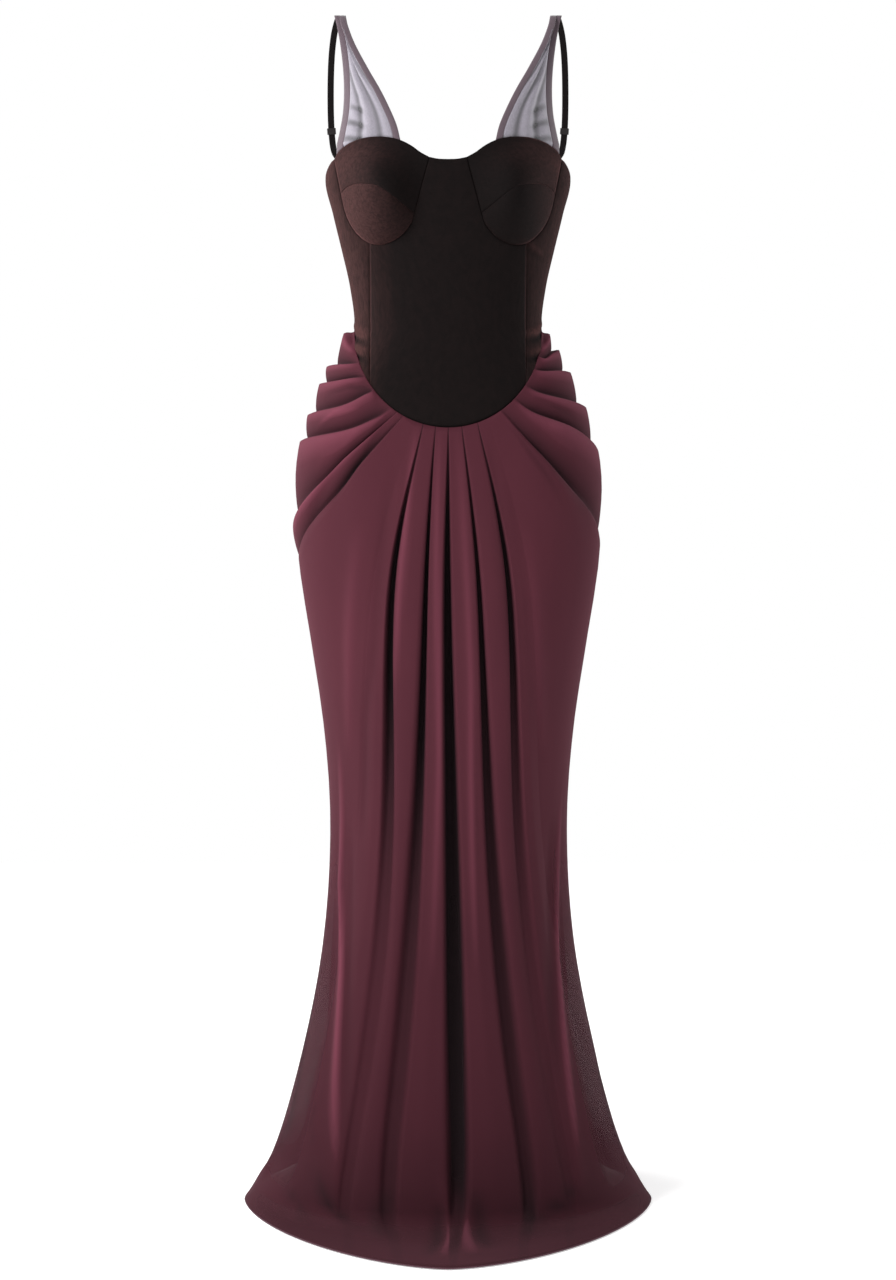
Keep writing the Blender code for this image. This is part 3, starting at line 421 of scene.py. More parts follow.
def lining_piece(name, turns, tops, material, mirror=False):
    """Lining from its top edge at the given heights down to its hem, open over the zip."""
    shares = [share for share, clearance in LINING_UPPER_ROWS]
    run = [[top + (LINING_RUNS[0] - top) * share for top in tops] for share in shares]
    run += [[below] * len(turns) for below in LINING_RUNS]
    clearance = [gap for share, gap in LINING_UPPER_ROWS]
    clearance += clearance[-1:] * len(LINING_RUNS)
    run = finer(finer(run, 4, 0), 3, 1)
    lift = -CLOTH_WALL - np.broadcast_to(finer(np.array(clearance)[:, None], 4, 0), run.shape)
    turn = np.broadcast_to(finer(np.array(turns)[None], 3, 1), run.shape).copy()
    opening = ZIP_OPENING * fade(run, ZIP_END_HEIGHT - 0.03, ZIP_END_HEIGHT - 0.004)
    turn = np.where(turn > 1, 1 + (turn - 1) * (1 - opening), turn)
    hang = 0.0022 * np.sin(turn * 9 + 1.0) * fade(-run, -0.5, -0.2)
    skins = []
    for depth in (0.0, LINING_WALL):
        upper = cloth_points(turn, run, lift - depth)
        slim = cloth_points(turn, np.minimum(run, LINING_LOWER[0].run), hang - depth, LINING_LOWER)
        slim[..., 2] = run - SHOULDER_HEIGHT
        share = fade(-run, -LINING_LOWER[0].run - 0.06, -LINING_LOWER[0].run)[..., None]
        skin = upper * (1 - share) + slim * share
        if mirror:
            skin[..., 0] *= -1
            skin = skin[:, ::-1]
        skins.append(skin)
    return skin_piece(name, *skins, material)


# Plain-woven burgundy lining with a slight satin face
lining_material, tree, shader = new_material(
    "burgundy_lining_cloth", {"Roughness": 0.55, "Specular IOR Level": 0.25}
)
threads = pattern(tree, "Wave", {"Scale": 420.0, "Distortion": 1.2, "Detail": 1.0}, on_cloth=True)
slub = pattern(tree, "Noise", {"Scale": 14.0, "Detail": 3.0}, on_cloth=True)
surfaced(tree, shader, mixed(tree, slub, "#4d1f2e", "#5c2838"), threads, 0.15)

seam_angles = np.linspace(0, 90, 400)
seam_turns, seam_heights = dropped_seam(seam_angles)
front_turns = (-1.0, -0.94, -0.82, -0.68, -0.53, -0.37, -0.19, 0.0, 0.19, 0.37, 0.53, 0.68, 0.82, 0.94, 1.0)
back_turns = (1.0, 1.05, 1.15, 1.28, 1.42, 1.56, 1.7, 1.84, 1.94, 2.0)
LINING_DROP = 0.0015
front_tops = np.interp(np.abs(front_turns), seam_turns, seam_heights) - LINING_DROP
back_tops = [WAIST_HEIGHT - LINING_DROP] * len(back_turns)
lining_front = lining_piece("lining_front_cloth", front_turns, front_tops, lining_material)
lining_back_right = lining_piece("lining_back_right_cloth", back_turns, back_tops, lining_material)
lining_back_left = lining_piece("lining_back_left_cloth", back_turns, back_tops, lining_material, mirror=True)
for piece, node, width in (
    (lining_front, "lining_front", 0.44),
    (lining_back_right, "lining_back_right", 0.24),
    (lining_back_left, "lining_back_left", 0.24),
):
    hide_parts(node)

# Skirt front: one panel of burgundy mesh, pleated into the bottom of the dropped seam and swagged
# over both hips into the side seams. The longest folds run down to the floor.
Swag = namedtuple(
    "Swag", "seam_angle upper_x upper_height lower_x lower_height side_height upper_lift lower_lift side_lift"
)
LEFT_SWAGS = (
    Swag(76.0, 0.1112, 1.0312, 0.1142, 1.0395, 1.047, 0.005, 0.01, 0.011),
    Swag(68.0, 0.1155, 1.0115, 0.129, 1.009, 1.006, 0.005, 0.009, 0.0115),
    Swag(59.0, 0.108, 0.9955, 0.129, 0.9905, 0.986, 0.005, 0.0085, 0.011),
    Swag(50.0, 0.092, 0.977, 0.124, 0.961, 0.9495, 0.005, 0.0085, 0.0105),
    Swag(35.0, 0.085, 0.947, 0.124, 0.932, 0.919, 0.006, 0.009, 0.01),
    Swag(31.5, 0.113, 0.907, 0.152, 0.865, 0.815, 0.008, 0.01, 0.008),
    Swag(27.0, 0.096, 0.901, 0.134, 0.853, 0.775, 0.007, 0.006, 0.003),
)
RIGHT_SWAGS = (
    Swag(76.5, 0.1112, 1.0325, 0.114, 1.04, 1.047, 0.003, 0.006, 0.008),
    Swag(72.0, 0.112, 1.018, 0.1195, 1.023, 1.0265, 0.005, 0.008, 0.01),
    Swag(64.0, 0.109, 1.0035, 0.128, 1.0025, 1.0, 0.005, 0.008, 0.01),
    Swag(53.0, 0.107, 0.977, 0.136, 0.968, 0.958, 0.0055, 0.009, 0.011),
    Swag(43.0, 0.1, 0.954, 0.142, 0.936, 0.906, 0.006, 0.009, 0.01),
    Swag(33.0, 0.105, 0.906, 0.146, 0.857, 0.79, 0.009, 0.009, 0.005),
)
SWAG_PROFILE = ((0.0, 1.0), (0.36, 0.76), (0.68, 0.38), (0.87, 0.06))
# Painted shade across a swag's valley and, below 0, painted highlight along its ridge
SWAG_SHADES = (0.25, 0.8, 0.7, 0.5)
RIDGE_SHADES = (0.0, -0.28, -0.36, -0.24)
Groove = namedtuple(
    "Groove", "seam_angle upper_x lower_x hem_turn upper_width lower_width upper_depth lower_depth"
)
GROOVES = (
    Groove(-14.9, -0.0655, -0.078, -0.36, 0.011, 0.02, 0.011, 0.004),
    Groove(-7.4, -0.027, -0.045, -0.2, 0.009, 0.022, 0.0115, 0.008),
    Groove(0.2, 0.0, 0.0075, 0.03, 0.013, 0.025, 0.014, 0.015),
    Groove(8.2, 0.038, 0.061, 0.28, 0.009, 0.021, 0.0095, 0.009),
    Groove(17.8, 0.072, 0.094, 0.44, 0.01, 0.018, 0.009, 0.003),
)
GROOVE_ENTRY_WIDTH = 0.0016
GROOVE_PROFILE = ((-0.5, 0.0), (-0.22, 1.0), (0.22, 1.0), (0.5, 0.0))
# Groove depths at which the grooves' painted shade is full
DARK_UPPER_DEPTH = 0.01
DARK_LOWER_DEPTH = 0.012
HEM_DEPTH_SHARE = 0.7
HEM_TURN_PER_WIDTH = 2.2
UPPER_RUN = 0.7
LOWER_RUN = 0.3
PLEAT_LIFTS = (0.0008, 0.0135, 0.015, 0.013)
CROWN_LIFTS = (0.0008, 0.016, 0.018, 0.014)
CROWN_SHARE = 0.6
Plain = namedtuple("Plain", "seam_angle upper_x lower_x hem_turn lifts")
CORNER_LIFTS = (0.0008, 0.0105, 0.006, 0.0)
FLANK_LIFTS = (0.0008, 0.0125, 0.013, 0.008)
LEFT_PLAINS = (
    Plain(20.5, 0.09, 0.127, 1.0, CORNER_LIFTS),
    Plain(17.8, 0.079, 0.102, 0.62, FLANK_LIFTS),
)
RIGHT_PLAINS = (
    Plain(24.5, 0.096, 0.13, 1.0, CORNER_LIFTS),
    Plain(21.0, 0.086, 0.115, 0.64, FLANK_LIFTS),
)
FAN_SIDE_RUNS = (0.68, 0.57, 0.46, 0.36, 0.26, 0.17, 0.09, 0.035, 0.005, -0.05)
SEAM_TURN_ANGLE = 83.0
TOP_LINE_SHARE = 0.5
TOP_LINE_ANGLE = 81.2
MESH_WALL = 0.0009
Line = namedtuple("Line", "seam_angle places lifts shades", defaults=((0.0,) * 4,))


def place_at(x, height):
    """Turn and height at a distance from the centre line."""
    return float(turn_at(x, height)), height


def edge_angle(share):
    """Angle on the dropped seam along the front's top edge, from its bend to the side seam."""
    return 90 - (90 - SEAM_TURN_ANGLE) * (1 - share) ** 2


def between(first, second, share):
    """Values a share of the way from the first to the second."""
    return tuple(a + (b - a) * share for a, b in zip(first, second))


def between_lines(first, second, share):
    """A line a share of the way from the first to the second."""
    return Line(
        first.seam_angle + (second.seam_angle - first.seam_angle) * share,
        tuple(between(a, b, share) for a, b in zip(first.places, second.places)),
        between(first.lifts, second.lifts, share),
        between(first.shades, second.shades, share),
    )


def falling_line(seam_angle, upper_x, lower_x, hem_turn, lifts):
    """Line from the dropped seam down to the hem."""
    places = (place_at(upper_x, UPPER_RUN), place_at(lower_x, LOWER_RUN), (hem_turn, HEM_RUN))
    return Line(seam_angle, places, lifts)


def swag_line(swag, side):
    """Line along a swag's ridge, from the dropped seam to the side seam."""
    places = (
        place_at(side * swag.upper_x, swag.upper_height),
        place_at(side * swag.lower_x, swag.lower_height),
        (float(side), swag.side_height),
    )
    lifts = (PLEAT_LIFTS[0], swag.upper_lift, swag.lower_lift, swag.side_lift)
    return Line(side * swag.seam_angle, places, lifts)


def side_lines(swags, plains, side):
    """Lines of one hip, from the top edge in to the first pleat."""
    ridges = [swag_line(swag, side) for swag in swags]
    seam_places = [dropped_seam(edge_angle(step / 3)) for step in (1, 2, 3)]
    edge_places = tuple((side * float(turn), float(height)) for turn, height in seam_places)
    edge = Line(side * SEAM_TURN_ANGLE, edge_places, (0.0,) * 4)
    top = between_lines(edge, ridges[0], TOP_LINE_SHARE)
    lines = [edge, top._replace(seam_angle=side * TOP_LINE_ANGLE, lifts=(0.0,) * 4)]
    for ridge, following in zip(ridges, ridges[1:]):
        for share, height in SWAG_PROFILE:
            line = between_lines(ridge, following, share)
            shades = tuple(
                (1 - height) * dark + height**3 * pale for dark, pale in zip(SWAG_SHADES, RIDGE_SHADES)
            )
            lines.append(line._replace(lifts=tuple(lift * height for lift in ridge.lifts), shades=shades))
    last = ridges[-1]
    lines.append(last)
    corner, flank = (
        falling_line(side * plain.seam_angle, side * plain.upper_x, side * plain.lower_x,
                     side * plain.hem_turn, plain.lifts)
        for plain in plains
    )
    start = last.places[-1][1]
    for step, run in enumerate(FAN_SIDE_RUNS, 1):
        share = step / (len(FAN_SIDE_RUNS) + 1)
        eased = 0.5 * share + 0.5 * (start - run) / (start - HEM_RUN)
        upper = between_lines(last, corner, eased).places[:2]
        lines.append(between_lines(last, corner, share)._replace(places=(*upper, (float(side), run))))
    return lines + [corner, flank]


def pleat_lines():
    """Lines of the pleats at the centre, four for each groove and one on each crown."""
    lines = []
    entry = math.degrees(GROOVE_ENTRY_WIDTH / WAIST_HALF_WIDTH)
    for groove in GROOVES:
        group = []
        for across, depth in GROOVE_PROFILE:
            lifts = (
                PLEAT_LIFTS[0],
                PLEAT_LIFTS[1] - depth * groove.upper_depth,
                PLEAT_LIFTS[2] - depth * groove.lower_depth,
                PLEAT_LIFTS[3] - depth * groove.lower_depth * HEM_DEPTH_SHARE,
            )
            line = falling_line(
                groove.seam_angle + across * entry,
                groove.upper_x + across * groove.upper_width,
                groove.lower_x + across * groove.lower_width,
                groove.hem_turn + across * groove.lower_width * HEM_TURN_PER_WIDTH,
                lifts,
            )
            shades = (
                0.6 * depth,
                depth * groove.upper_depth / DARK_UPPER_DEPTH,
                depth * (groove.lower_depth / DARK_LOWER_DEPTH) ** 1.8,
                0.1 * depth,
            )
            group.append(line._replace(shades=shades))
        if lines:
            crown = between_lines(lines[-1], group[0], 0.5)
            lines.append(crown._replace(lifts=between(crown.lifts, CROWN_LIFTS, CROWN_SHARE)))
        lines += group
    return lines


def places_along(lines, steps):
    """Grids of turn, run, lift and shade, a row for each share of the lines' length."""
    thirds = (0.0, 1 / 3, 2 / 3, 1.0)
    grids = [[], [], [], []]
    for line in lines:
        turn, height = dropped_seam(line.seam_angle)
        turns, runs = zip((float(turn), float(height)), *line.places)
        for grid, values in zip(grids, (turns, runs, line.lifts, line.shades)):
            grid.append(curve_through(list(zip(thirds, values)), steps))
    return [np.array(grid).T for grid in grids]


def filled_in(lines, first, last, widest=0.045):
    """The lines with more set in where two of them lie far apart, between the first and the last."""
    filled = list(lines[:first + 1])
    for line, following in zip(lines[first:last], lines[first + 1:last + 1]):
        count = int(abs(following.places[1][0] - line.places[1][0]) / widest) + 1
        filled += [between_lines(line, following, step / count) for step in range(1, count)] + [following]
    return filled + list(lines[last + 1:])


def sheer_where(run, sides):
    """How sheer the mesh is: as the sides give it where the skirt flares, and a little at the hem."""
    return fade(-run, -0.55, -0.25) * fade(run, 0.0, 0.1) * sides + 0.3 * (1 - fade(run, -0.01, 0.02))


# Sheer burgundy mesh: a fine even net whose threads cover most of what lies behind it
skirt_material, tree, shader = new_material("burgundy_mesh_cloth", {
    "Roughness": 0.85, "Specular IOR Level": 0.12, "Sheen Weight": 0.17, "Sheen Roughness": 0.4,
    "Sheen Tint": hex_colour("#a86478"),
})
across_threads = pattern(tree, "Wave", {"Scale": 260.0, "Distortion": 0.6}, on_cloth=True)
down_threads = pattern(
    tree, "Wave", {"Scale": 260.0, "Distortion": 0.6, "bands_direction": "Y"}, on_cloth=True
)
net = combined(tree, "MULTIPLY", across_threads, down_threads)
cloud = pattern(tree, "Noise", {"Scale": 7.0, "Detail": 3.0})
tone = mixed(tree, cloud, "#47202a", "#4f242e")
# Painted shade and highlight from each piece's paint: above 0 it darkens the mesh towards near black in folds
# and grooves, below 0 it paints a pale rosy highlight on crests
shading_paint = painted(tree, "fold_depth")
# Painted shade: the mesh is darker towards the hem
where = add_node(tree, "ShaderNodeTexCoord")
parts = add_node(tree, "ShaderNodeSeparateXYZ", None, {"Vector": where.outputs["Object"]})
below = ranged(tree, parts.outputs["Z"], 0.0, from_min=-0.75, from_max=-1.35)
lower = mixed(tree, below, tone, "#cfc8cb", "MULTIPLY")
painted_shade_colour = mixed(tree, shading_paint, lower, "#160c0f")
painted_highlight_share = ranged(tree, shading_paint, 0.0, from_max=-1.0)
painted_highlight_colour = mixed(tree, painted_highlight_share, painted_shade_colour, "#8e4a5c")
thin = painted(tree, "sheer")
surfaced(tree, shader, painted_highlight_colour, net, 0.05)
tree.links.new(ranged(tree, thin, 0.985, 0.68), shader.inputs["Alpha"])

# Folds of the skirt with painted shade and painted highlight along them, and the two dark side seam lines
SKIRT_CREASES = (
    Crease(((-0.088, 0.985), (-0.112, 0.986), (-0.14, 0.974)), 0.003, -0.0012, 0.3),
    Crease(((-0.1, 0.962), (-0.128, 0.955), (-0.152, 0.936)), 0.0028, 0.001, -0.25),
    Crease(((0.098, 0.975), (0.12, 0.964), (0.146, 0.95)), 0.003, -0.0012, 0.26),
    Crease(((0.112, 0.944), (0.134, 0.93), (0.158, 0.915)), 0.0028, 0.001, -0.22),
    Crease(((-0.07, 0.945), (-0.098, 0.905), (-0.134, 0.85)), 0.0034, -0.0012, 0.26),
    Crease(((0.072, 0.945), (0.098, 0.905), (0.136, 0.846)), 0.0034, -0.0012, 0.22),
    Crease(((-0.06, 0.9), (-0.075, 0.78), (-0.082, 0.64)), 0.006, -0.0016, 0.1),
    Crease(((-0.098, 0.83), (-0.112, 0.7), (-0.114, 0.56)), 0.008, 0.0014, -0.1),
    Crease(((-0.08, 0.7), (-0.092, 0.6), (-0.096, 0.45)), 0.007, -0.0018, 0.14),
    Crease(((0.088, 0.83), (0.102, 0.7), (0.106, 0.56)), 0.008, 0.0013, -0.06),
    Crease(
        ((-0.125, 0.56), (-0.124, 0.4), (-0.121, 0.295), (-0.127, 0.17), (-0.125, 0.04)),
        0.0052, 0.0034, -0.42,
    ),
    Crease(((-0.112, 0.48), (-0.112, 0.3), (-0.114, 0.1)), 0.007, -0.002, 0.16),
    Crease(
        ((0.1295, 0.5), (0.125, 0.29), (0.128, 0.237), (0.137, 0.155), (0.153, 0.03)),
        0.005, 0.0034, -0.42,
    ),
    Crease(((0.117, 0.48), (0.114, 0.3), (0.124, 0.12)), 0.008, -0.0022, 0.18),
    Crease(
        ((-0.143, 0.32), (-0.162, 0.237), (-0.175, 0.17), (-0.188, 0.1), (-0.224, 0.036)),
        0.0046, 0.0012, 0.75,
    ),
    Crease(
        ((0.15, 0.33), (0.166, 0.237), (0.18, 0.16), (0.2, 0.085), (0.224, 0.04)),
        0.0046, 0.0012, 0.4,
    ),
    Crease(((-0.118, 0.905), (-0.14, 0.87), (-0.16, 0.83)), 0.006, -0.0018, 0.14),
    Crease(((0.118, 0.9), (0.142, 0.868), (0.164, 0.82)), 0.006, -0.0018, 0.12),
    Crease(((-0.098, 0.935), (-0.12, 0.915), (-0.15, 0.895)), 0.0045, 0.0012, -0.12),
    Crease(((0.104, 0.94), (0.126, 0.922), (0.155, 0.892)), 0.0045, 0.0013, -0.1),
    Crease(((-0.036, 0.94), (-0.05, 0.8), (-0.06, 0.64)), 0.003, 0.0006, -0.3),
    Crease(((-0.01, 0.94), (-0.012, 0.8), (-0.01, 0.56), (-0.018, 0.3)), 0.003, 0.0006, -0.28),
    Crease(((0.012, 0.935), (0.02, 0.8), (0.026, 0.64), (0.032, 0.3)), 0.003, 0.0006, -0.25),
    Crease(((0.048, 0.93), (0.062, 0.78), (0.072, 0.64)), 0.0045, -0.001, 0.12),
    Crease(((-0.15, 0.2), (-0.163, 0.15), (-0.16, 0.11)), 0.003, 0.001, 0.25),
    Crease(((-0.142, 0.15), (-0.158, 0.12), (-0.15, 0.085)), 0.0026, 0.001, 0.22),
)
# Small folds where the skirt breaks and lies on the floor, with painted shade and painted
# highlight along them
FLOOR_CREASES = (
    Crease(((0.003, 0.06), (0.004, -0.02), (-0.006, -0.085)), 0.005, 0.0048, -0.2),
    Crease(((0.012, 0.05), (0.022, -0.01), (0.03, -0.08)), 0.005, 0.0042, -0.18),
    Crease(((-0.006, 0.04), (-0.012, -0.03), (-0.024, -0.09)), 0.005, -0.0012, 0.34),
    Crease(((0.03, 0.05), (0.038, -0.01), (0.05, -0.07)), 0.006, -0.0012, 0.3),
    Crease(((-0.07, 0.05), (-0.084, 0.0), (-0.078, -0.04)), 0.006, 0.0026, 0.22),
    Crease(((0.086, 0.06), (0.094, 0.0), (0.1, -0.05)), 0.006, 0.0026, 0.16),
    Crease(((-0.15, 0.06), (-0.134, 0.015), (-0.1, -0.01)), 0.006, 0.0026, 0.3),
    Crease(((0.06, 0.02), (0.11, 0.01), (0.15, 0.05)), 0.006, 0.0022, 0.24),
    Crease(((-0.19, 0.04), (-0.17, 0.005), (-0.176, -0.04)), 0.005, 0.002, 0.2),
)
# Rows of the skirt lie a little closer together near the seam
steps = np.linspace(0, 1, 91) ** 1.06
left = side_lines(LEFT_SWAGS, LEFT_PLAINS, -1)
right = side_lines(RIGHT_SWAGS, RIGHT_PLAINS, 1)
lines = left + pleat_lines() + right[::-1]
lines = filled_in(lines, len(left) - 2, len(lines) - len(right) + 1)
turn, run, lift, shade = (finer(grid, 3) for grid in places_along(lines, steps))
# Creases and floor folds give lift, and painted shade and highlight
crease_rise, crease_shading = creased(turn, run, SKIRT_CREASES)
floor_rise, floor_crease_shading = creased(turn, run, FLOOR_CREASES)
# Painted shade in a band just above the floor at the front, over the foot of the lining where the skirt meets
# the floor, and on the right of the lower skirt, away from the key lamp
hem_band_shade = 0.2 * fade(run, 0.004, 0.014) * (1 - fade(run, 0.02, 0.14)) * (1 - fade(np.abs(turn), 0.5, 0.72))
right_side_shade = 0.07 * fade(turn, 0.05, 0.25) * fade(-run, -0.5, -0.3)
shade = np.clip(shade, -0.4, 1.0) + crease_shading + 1.6 * floor_crease_shading + hem_band_shade + right_side_shade
turn[0], run[0] = dropped_seam(finer(np.array([[line.seam_angle for line in lines]]), 3)[0])
edge_turn, run[:, 0] = dropped_seam(edge_angle(steps))
run[:, -1] = run[:, 0]
turn[:, 0], turn[:, -1] = -edge_turn, edge_turn
run = np.maximum(run, HEM_RUN)
lift = np.maximum(lift, 0.0) * fade(run, -0.015, 0.055) + crease_rise * fade(run, 0.0, 0.06) + floor_rise
sheer = sheer_where(run, 0.1 + 0.9 * fade(np.abs(turn), 0.58, 0.66))
# The top edge sinks into the dropped seam
lift -= 0.0016 * np.exp(-((np.cumsum(np.gradient(steps))[:, None] / 0.008) ** 2))
skirt_front = cloth_piece("skirt_front_cloth", turn, run, lift, MESH_WALL, skirt_material,
                          paint={"fold_depth": shade, "sheer": sheer})
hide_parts("skirt_front")

# Skirt backs: plain mesh panels with the front's swags dying out from the side seams, two soft
# folds a side that open towards the hem, and a train that lies on the floor.
SWAG_FADE_TURN = 1.62
BACK_CREASES = (
    Crease(((0.03, 0.9), (0.034, 0.7), (0.04, 0.5)), 0.01, 0.0016, -0.1),
    Crease(((0.12, 0.64), (0.11, 0.45), (0.118, 0.25)), 0.009, 0.002, -0.1),
)


def back_piece(name, column, mirror):
    """Half of the back, hung from the front's own side edge so that the side seam closes."""
    count = len(column)
    turns = finer(np.array(back_turns)[None], 4, 1)[0]
    turn_grid = np.broadcast_to(turns, (count, len(turns)))
    run_grid = np.broadcast_to(run[-1][column][:, None], turn_grid.shape)
    share = 1 - fade(turn_grid, 1.0, SWAG_FADE_TURN)
    opening = fade(-run_grid, -0.78, -0.25) * fade(run_grid, -0.015, 0.055)
    wave = sum(np.exp(-(((turn_grid - centre) / 0.075) ** 2)) for centre in (1.46, 1.82))
    rise, tone = creased(2 - turn_grid, run_grid, BACK_CREASES)
    lift_grid = lift[-1][column][:, None] * share + 0.012 * opening * wave + rise * opening
    gathers = fade(-run_grid, -1.03, -0.85) * fade(turn_grid, 1.0, 1.2)
    lift_grid = lift_grid + 0.0012 * np.sin(turn_grid * 31 + 0.7) * gathers
    # Painted shade and highlight of the backs: the front's painted shading dying out, painted highlight on
    # the two soft folds, the creases' tones and a little painted shade on the lower back
    depth = shade[-1][column][:, None] * share - 0.25 * opening * wave + tone + 0.1 * opening
    thin = sheer_where(run_grid, 0.15 + 0.85 * (1 - fade(turn_grid, 1.32, 1.42)))
    return cloth_piece(name, turn_grid, run_grid, lift_grid, MESH_WALL, skirt_material, mirror=mirror,
                       paint={"fold_depth": depth, "sheer": thin})


columns_left = np.arange((len(left) - 2) * 3 + 1)
columns_right = turn.shape[1] - 1 - np.arange((len(right) - 2) * 3 + 1)
skirt_back_left = back_piece("skirt_back_left_cloth", columns_left, True)
skirt_back_right = back_piece("skirt_back_right_cloth", columns_right, False)
for piece, node in ((skirt_back_left, "skirt_back_left"), (skirt_back_right, "skirt_back_right")):
    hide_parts(node)

# Narrow rolled hem of the skirt: the mesh turned over on itself and overlocked, all round where
# the front and the backs end on the floor
HEM_ROLL_RADIUS = 0.0009
hem_halves = [
    cloth_points(np.linspace(start, start + 2, 121), np.full(121, HEM_RUN), -0.0004)[:-1] for start in (-1, 1)
]
ring = np.concatenate(hem_halves)
hem_curve = bpy.data.curves.new("hem_roll", "CURVE")
hem_curve.dimensions = "3D"
hem_curve.bevel_depth = HEM_ROLL_RADIUS
hem_curve.bevel_resolution = 2
spline = hem_curve.splines.new("POLY")
spline.points.add(len(ring) - 1)
spline.points.foreach_set("co", np.concatenate([ring, np.ones((len(ring), 1))], axis=1).ravel())
spline.use_cyclic_u = True
hem_roll = placed("hem_roll", hem_curve)
# Overlocking thread in the mesh's colour, a little darker where the cloth is doubled
hem_material, tree, shader = new_material("rolled_hem_thread", {"Roughness": 0.8})
twist = pattern(tree, "Wave", {"Scale": 380.0, "Distortion": 1.0})
surfaced(tree, shader, mixed(tree, twist, "#3c1c28", "#532a38"), twist, 0.4)
hem_curve.materials.append(hem_material)
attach(hem_roll, "dress")

# Bodice: silk velvet over a firm base. Centre front panel with the gore between the cups,
# side fronts, two-piece underwired cups and plain backs, all stitched edge to edge.
NECKLINE = (
    (0.1336, 1.2515), (0.127, 1.26), (0.116, 1.2672), (0.1, 1.2722), (0.0835, 1.2735),
    (0.068, 1.2722), (0.054, 1.2683), (0.042, 1.262), (0.031, 1.254), (0.021, 1.2486),
)
CROSS_SEAM = (
    (0.1252, 1.2105), (0.118, 1.216), (0.108, 1.2184), (0.097, 1.2175), (0.0822, 1.215),
    (0.0714, 1.2092), (0.0608, 1.2015), (0.048, 1.192), (0.0385, 1.185),
)
UNDERWIRE = (
    (0.1252, 1.2105), (0.121, 1.191), (0.1128, 1.1725), (0.1009, 1.1585), (0.089, 1.1517),
    (0.0769, 1.1501), (0.0655, 1.1535), (0.0543, 1.16), (0.043, 1.173), (0.0385, 1.185),
)
NECK_CENTRE_HEIGHT = 1.2462
BUST_DEPTH = 0.034
BACK_EDGE = (
    (1.0, UNDERARM_HEIGHT), (1.12, 1.242), (1.27, 1.256), (1.45, 1.252), (1.7, 1.244), (2.0, 1.24),
)
VELVET_WALL = 0.0014
CUP_COLUMNS = 48
CUP_ROWS = 24


def evenly_along(points, count):
    """Count + 1 places at even distances along a smooth curve."""
    points = np.array(points, float)
    lengths = lengths_along(points)
    at = np.linspace(0, lengths[-1], count + 1)
    return np.stack([curve_through(list(zip(lengths, column)), at) for column in points.T], axis=-1)


def seam_height(x):
    """Height of the dropped seam at distances from the centre line."""
    return WAIST_HEIGHT - SEAM_DROP * np.sqrt(1 - (x / WAIST_HALF_WIDTH) ** 2)


def seam_dip(shape, edges, reach=2, dip=0.0009):
    """Lift that sinks a panel's sewn edges into their seam; edges name the sides that are sewn."""
    rows, columns = np.indices(shape)
    away = {"top": rows, "foot": shape[0] - 1 - rows, "left": columns, "right": shape[1] - 1 - columns}
    nearest = np.min([away[edge] for edge in edges], axis=0)
    return -dip * np.exp(-((nearest / reach) ** 2))


# Black-brown silk velvet: short pile that is nearly black face on and shines rosy at a slant.
# Besides the shader's own sheen, the rosy shine is painted sheen in the base colour, stronger at a
# slant and scaled for each piece by its paint.
velvet_material, tree, shader = new_material("silk_velvet_cloth", {
    "Roughness": 0.9, "Specular IOR Level": 0.08, "Sheen Weight": 0.22, "Sheen Roughness": 0.22,
    "Sheen Tint": hex_colour("#b4797c"),
})
pile = pattern(tree, "Noise", {"Scale": 1500.0, "Detail": 2.0})
stroke = pattern(tree, "Noise", {"Scale": 22.0, "Detail": 4.0, "Distortion": 0.8})
base = mixed(tree, stroke, "#0c0a0a", "#110e0e")
slant = add_node(tree, "ShaderNodeLayerWeight", {"Blend": 0.5})
slanted = ranged(tree, slant.outputs["Facing"], 0.34, from_min=0.12, from_max=0.85)
painted_sheen = painted(tree, "painted_sheen")
mottle = ranged(tree, stroke, 0.68, 1.32, 0.35, 0.65)
uneven = combined(tree, "MULTIPLY", mottle, painted_sheen)
painted_sheen_amount = combined(tree, "MULTIPLY", slanted, uneven, use_clamp=True)
rosy = mixed(tree, painted_sheen_amount, base, "#442b2a")
relief = combined(tree, "ADD", pile, stroke)
surfaced(tree, shader, rosy, relief, 0.35, 0.0006)

# Wrinkles and small folds of the velvet; their tone paints more rosy sheen on ridges, below 0, and painted
# shade in troughs, above 0
BODICE_CREASES = (
    Crease(((-0.12, 1.062), (-0.106, 1.051), (-0.09, 1.047)), 0.0034, 0.002, -2.4),
    Crease(((-0.12, 1.052), (-0.106, 1.042), (-0.092, 1.038)), 0.0032, -0.0018, 1.0),
    Crease(((-0.114, 1.036), (-0.102, 1.029), (-0.09, 1.026)), 0.003, 0.0016, -2.0),
    Crease(((-0.114, 1.028), (-0.102, 1.02), (-0.09, 1.018)), 0.003, -0.0016, 1.0),
    Crease(((0.12, 1.064), (0.104, 1.052), (0.084, 1.049)), 0.0034, 0.002, -3.0),
    Crease(((0.12, 1.053), (0.104, 1.043), (0.086, 1.04)), 0.0032, -0.0018, 1.0),
    Crease(((0.114, 1.036), (0.101, 1.028), (0.087, 1.026)), 0.003, 0.0016, -2.4),
    Crease(((0.114, 1.027), (0.101, 1.019), (0.087, 1.018)), 0.003, -0.0016, 1.0),
    Crease(((-0.06, 1.075), (-0.02, 1.066), (0.03, 1.072)), 0.006, -0.0007, 0.0),
    Crease(((-0.07, 1.11), (-0.04, 1.104), (-0.01, 1.108)), 0.007, 0.0006, 0.0),
    Crease(((0.08, 1.16), (0.095, 1.152), (0.112, 1.14)), 0.0026, 0.001, -1.3),
    Crease(((0.084, 1.15), (0.098, 1.141), (0.112, 1.133)), 0.002, -0.0008, 0.4),
)
neck = evenly_along(NECKLINE, CUP_COLUMNS)
cross = evenly_along(CROSS_SEAM, CUP_COLUMNS)
